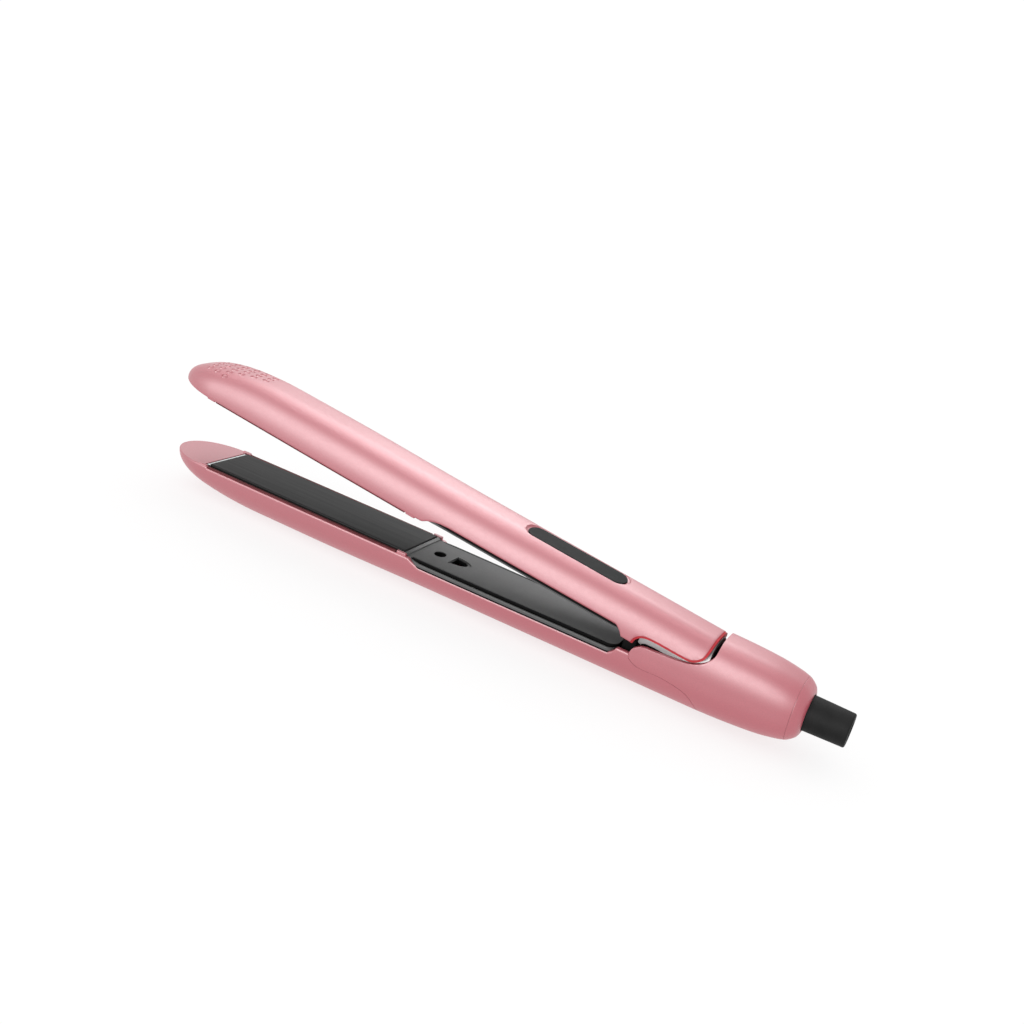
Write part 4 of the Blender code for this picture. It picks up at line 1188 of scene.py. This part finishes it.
def plate_ceramic(name):
    """Dark satin ceramic with faint lengthwise polishing lines and mineral specks."""
    return finish(name, (0.020,) * 3, (0.82, 1.2), (2600.0,), (900.0, ALONG), (0.38, 0.48),
                  (0.000003, 0.3), Specular_IOR_Level=0.10)


def cover_plastic(name):
    """Dark grey moulded plastic with a fine spark-eroded grain."""
    return finish(name, (0.104,) * 3, (0.93, 1.07), (120.0,), (2400.0, EVEN, 4.0), (0.38, 0.52),
                  (0.000010, 0.5), Specular_IOR_Level=0.16, Coat_Weight=0.10, Coat_Roughness=0.32)


def liner_silver(name):
    """Silver-grey satin plastic of the tail liner."""
    return finish(name, (0.24, 0.23, 0.23), (0.92, 1.06), (150.0,), (3000.0,), (0.36, 0.45),
                  (0.000004, 0.4), metallic=0.7)


def window_dark(name):
    """Smooth dark lens with a faint mottling under its surface."""
    return finish(name, (0.028, 0.029, 0.029), (0.92, 1.08), (350.0,), (1500.0,), (0.45, 0.55),
                  (0.000002, 0.3), swell=(800.0,), Specular_IOR_Level=0.03)


def matt_colour(name, base, roughness):
    """Matt plastic with a fine moulded grain and faint turning lines."""
    return finish(name, base, (0.85, 1.2), (200.0,), (2200.0, (3.0, 0.6, 0.6), 4.0),
                  (roughness - 0.07, roughness + 0.07), (0.000008, 0.5), Specular_IOR_Level=0.06)


def brushed(name, base, roughness):
    """Metal with fine lengthwise brushing."""
    lines = (1600.0, (0.04, 1.0, 1.0))
    return finish(name, base, (0.88, 1.05), lines, lines, (roughness - 0.06, roughness + 0.08),
                  (0.000004, 0.5), metallic=1.0)


def moulded(name, base, roughness, mottle_scale, grain_scale):
    """Plain moulded or fired material with a mottled colour and a fine grain."""
    return finish(name, base, (0.85, 1.12), (mottle_scale,), (grain_scale, EVEN, 4.0),
                  (roughness - 0.08, roughness + 0.08), (0.000010, 0.5))


ROSE = (0.44, 0.072, 0.100)
# painted shade: the deep rose of the tail band stands in for the red shade along the tail's edge
PAINTED_SHADE_ROSE = (0.50, 0.042, 0.052)

MATERIALS = {
    "rose_metallic": lacquer("rose_lacquer", ROSE),
    "plate_ceramic": plate_ceramic("plate_ceramic"),
    "cover_grey": cover_plastic("cover_plastic"),
    "liner_silver": liner_silver("liner_silver"),
    "window_dark": window_dark("window_dark"),
    "sleeve_black": matt_colour("sleeve_black", (0.017, 0.017, 0.017), 0.55),
    "carrier_aluminium": brushed("carrier_aluminium", (0.50, 0.53, 0.53), 0.34),
    "steel": brushed("steel", (0.56, 0.56, 0.58), 0.28),
    "brass": brushed("brass", (0.74, 0.56, 0.28), 0.30),
    "heater_white": moulded("heater_white", (0.78, 0.76, 0.70), 0.6, 600.0, 2500.0),
    "insulator_amber": moulded("insulator_amber", (0.58, 0.33, 0.10), 0.35, 90.0, 700.0),
    "silicone": moulded("silicone", (0.52, 0.11, 0.07), 0.6, 200.0, 1800.0),
    "board_green": moulded("board_green", (0.04, 0.22, 0.10), 0.4, 450.0, 1200.0),
    "component_black": moulded("component_black", (0.020, 0.020, 0.020), 0.5, 300.0, 2200.0),
    "wire_white": moulded("wire_white", (0.76, 0.76, 0.74), 0.5, 250.0, 1500.0),
    "wire_red": moulded("wire_red", (0.50, 0.04, 0.04), 0.5, 250.0, 1500.0),
    # painted shade: matt deep rose of the tail band
    "painted_shade_rose": matt_colour("painted_shade_rose", PAINTED_SHADE_ROSE, 0.45),
    # black of the lead boot, and painted shade in the cover's groove, the hole and pocket, and under the liner
    "part_black_and_painted_shade": matt_colour("part_black_and_painted_shade", (0.006, 0.006, 0.006), 0.6),
    # painted shade: the maroon stands in for the shaded rim ledge beside the plates
    "painted_shade_maroon": matt_colour("painted_shade_maroon", (0.15, 0.038, 0.042), 0.5),
}


def dress_inner_nodes():
    """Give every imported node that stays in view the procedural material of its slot."""
    for entry in frame["record"]["subparts"]:
        node = frame["nodes"][entry["node"]]
        node.data.materials.clear()
        node.data.materials.append(MATERIALS[entry["material_slot"]])
        smooth(node, 35)


# ---------------------------------------------------------------- the pieces


def build_pieces():
    """Model every piece that shows and put it on its body."""
    show(lower_shell(), "lower_arm_skin", "lower_arm", "rose_metallic", "lower_shell")
    show(upper_shell(), "upper_arm_skin", "upper_arm", "rose_metallic", "upper_shell", side=UPPER)
    # the tail band's deep rose is painted shade
    show(tail_painted_shade_band(), "tail_painted_shade_band", "upper_arm", "rose_metallic", look="painted_shade_rose", side=UPPER)
    show(hinge_housing(), "housing_skin", "lower_arm", "rose_metallic", "hinge_housing")
    show(end_cap(), "rear_cap", "lower_arm", "rose_metallic", "end_cap")
    show(lower_cover(), "lower_cover", "lower_arm", "cover_grey", "lower_inner_cover")
    show(upper_cover(), "upper_cover", "upper_arm", "cover_grey", "upper_inner_cover", side=UPPER)
    # the black sheets in the hole and pocket are painted shade
    show(cover_well_shade(), "cover_well_shade", "lower_arm", "component_black", look="part_black_and_painted_shade")
    # the black frames under the cover edges are painted shade
    for side, arm in ((LOWER, "lower_arm"), (UPPER, "upper_arm")):
        name = arm.replace("arm", "cover_painted_shade_frame")
        show(cover_painted_shade_frame(side), name, arm, "component_black", look="part_black_and_painted_shade", side=side)
    for side, label in ((LOWER, "lower"), (UPPER, "upper")):
        arm = f"{label}_arm"
        plate = f"{label}_plate"
        show(bumpers(side), f"{label}_arm_bumpers", arm, "rose_metallic", side=side)
        # the maroon strips beside the plates are painted shade
        show(plate_shade_strip(side), f"{label}_plate_shade_strip", arm, "silicone", look="painted_shade_maroon", side=side)
        show(heater_plate(side), f"{label}_hair_plate", plate, "plate_ceramic",
             f"{label}_heater_plate", side=side)
        show(plate_carrier(side), f"{label}_plate_tray", plate, "carrier_aluminium",
             f"{label}_plate_carrier", side=side)
    show(window_lens(), "window_lens", "upper_arm", "window_dark", "control_window", side=UPPER)
    show(tail_liner(), "tail_liner", "upper_arm", "liner_silver", "hinge_block", side=UPPER)
    # the hinge core's black is painted shade
    show(hinge_core(), "hinge_core", "upper_arm", "component_black", look="part_black_and_painted_shade", side=UPPER)
    show(wire_boot(), "lead_boot", "lower_arm", "component_black", "wire_boot", look="part_black_and_painted_shade")
    show(swivel_sleeve(), "cord_sleeve_skin", "cord_sleeve", "sleeve_black", "swivel_sleeve")


# ---------------------------------------------------------------- stage, light and camera

CAMERA_PLACE = (0.159682, -0.294508, 0.171494)
CAMERA_TURN = (67.930, -10.862, 30.655)
CAMERA_LENS = 35.0
SENSOR_WIDTH = 36.0
FLOOR_SIZE = 40.0
FLOOR_SHADE = 0.26
FLOOR_DRIFT = 0.005          # the floor's shade wanders by this much
FLOOR_GLOW = 0.75            # keeps the pale floor from taking a heavy shadow
WORLD_STRENGTH = 1.04
LIGHT_DISTANCE = 1.3


def make_camera():
    """Camera above the near side of the cord end, looking towards the noses."""
    lens = bpy.data.cameras.new("camera")
    lens.lens = CAMERA_LENS
    lens.sensor_width = SENSOR_WIDTH
    lens.clip_start = 0.01
    camera = new_object("camera", lens)
    camera.location = CAMERA_PLACE
    camera.rotation_euler = [math.radians(turn) for turn in CAMERA_TURN]
    bpy.context.scene.camera = camera


def make_floor():
    """Plain pale floor."""
    bm = bmesh.new()
    bmesh.ops.create_grid(bm, x_segments=8, y_segments=8, size=FLOOR_SIZE)
    floor = new_object("floor", mesh_from(bm, "floor"))
    floor.location.z = cad_bounds[0][2] - 2 * SLIGHT
    recipe = Recipe("floor_white", (FLOOR_SHADE,) * 3, 0.9)
    recipe.set(Specular_IOR_Level=0.0, Emission_Color=(1.0, 1.0, 1.0, 1.0), Emission_Strength=FLOOR_GLOW)
    recipe.colours(recipe.noise(0.8), (FLOOR_SHADE - FLOOR_DRIFT,) * 3, (FLOOR_SHADE + FLOOR_DRIFT,) * 3)
    floor.data.materials.append(recipe.material)


def softbox(name, direction, width, tall, roll, watts):
    """Rectangular light facing the object; the surroundings do the diffuse lighting."""
    light = bpy.data.lights.new(name, "AREA")
    light.shape = "RECTANGLE"
    light.size = width
    light.size_y = tall
    light.energy = watts
    lamp = new_object(name, light)
    toward = Vector(direction).normalized()
    lamp.location = toward * LIGHT_DISTANCE
    turned = toward.to_track_quat("Z", "Y") @ Quaternion((0.0, 0.0, 1.0), math.radians(roll))
    lamp.rotation_euler = turned.to_euler()
    lamp.visible_diffuse = False


def make_light():
    """White surroundings and two softboxes, one high behind and one low in front."""
    world = bpy.data.worlds.new("surroundings")
    world.use_nodes = True
    world.node_tree.nodes["Background"].inputs["Color"].default_value = (1.0, 1.0, 1.0, 1.0)
    world.node_tree.nodes["Background"].inputs["Strength"].default_value = WORLD_STRENGTH
    bpy.context.scene.world = world
    softbox("back_softbox", (-0.32, 0.42, 0.86), width=1.5, tall=0.6, roll=38.0, watts=21.0)
    softbox("front_softbox", (-0.26, -0.90, 0.30), width=1.4, tall=1.1, roll=8.0, watts=34.0)


make_camera()
make_floor()
make_light()
dress_inner_nodes()
build_pieces()
bpy.context.scene.view_settings.view_transform = "Standard"
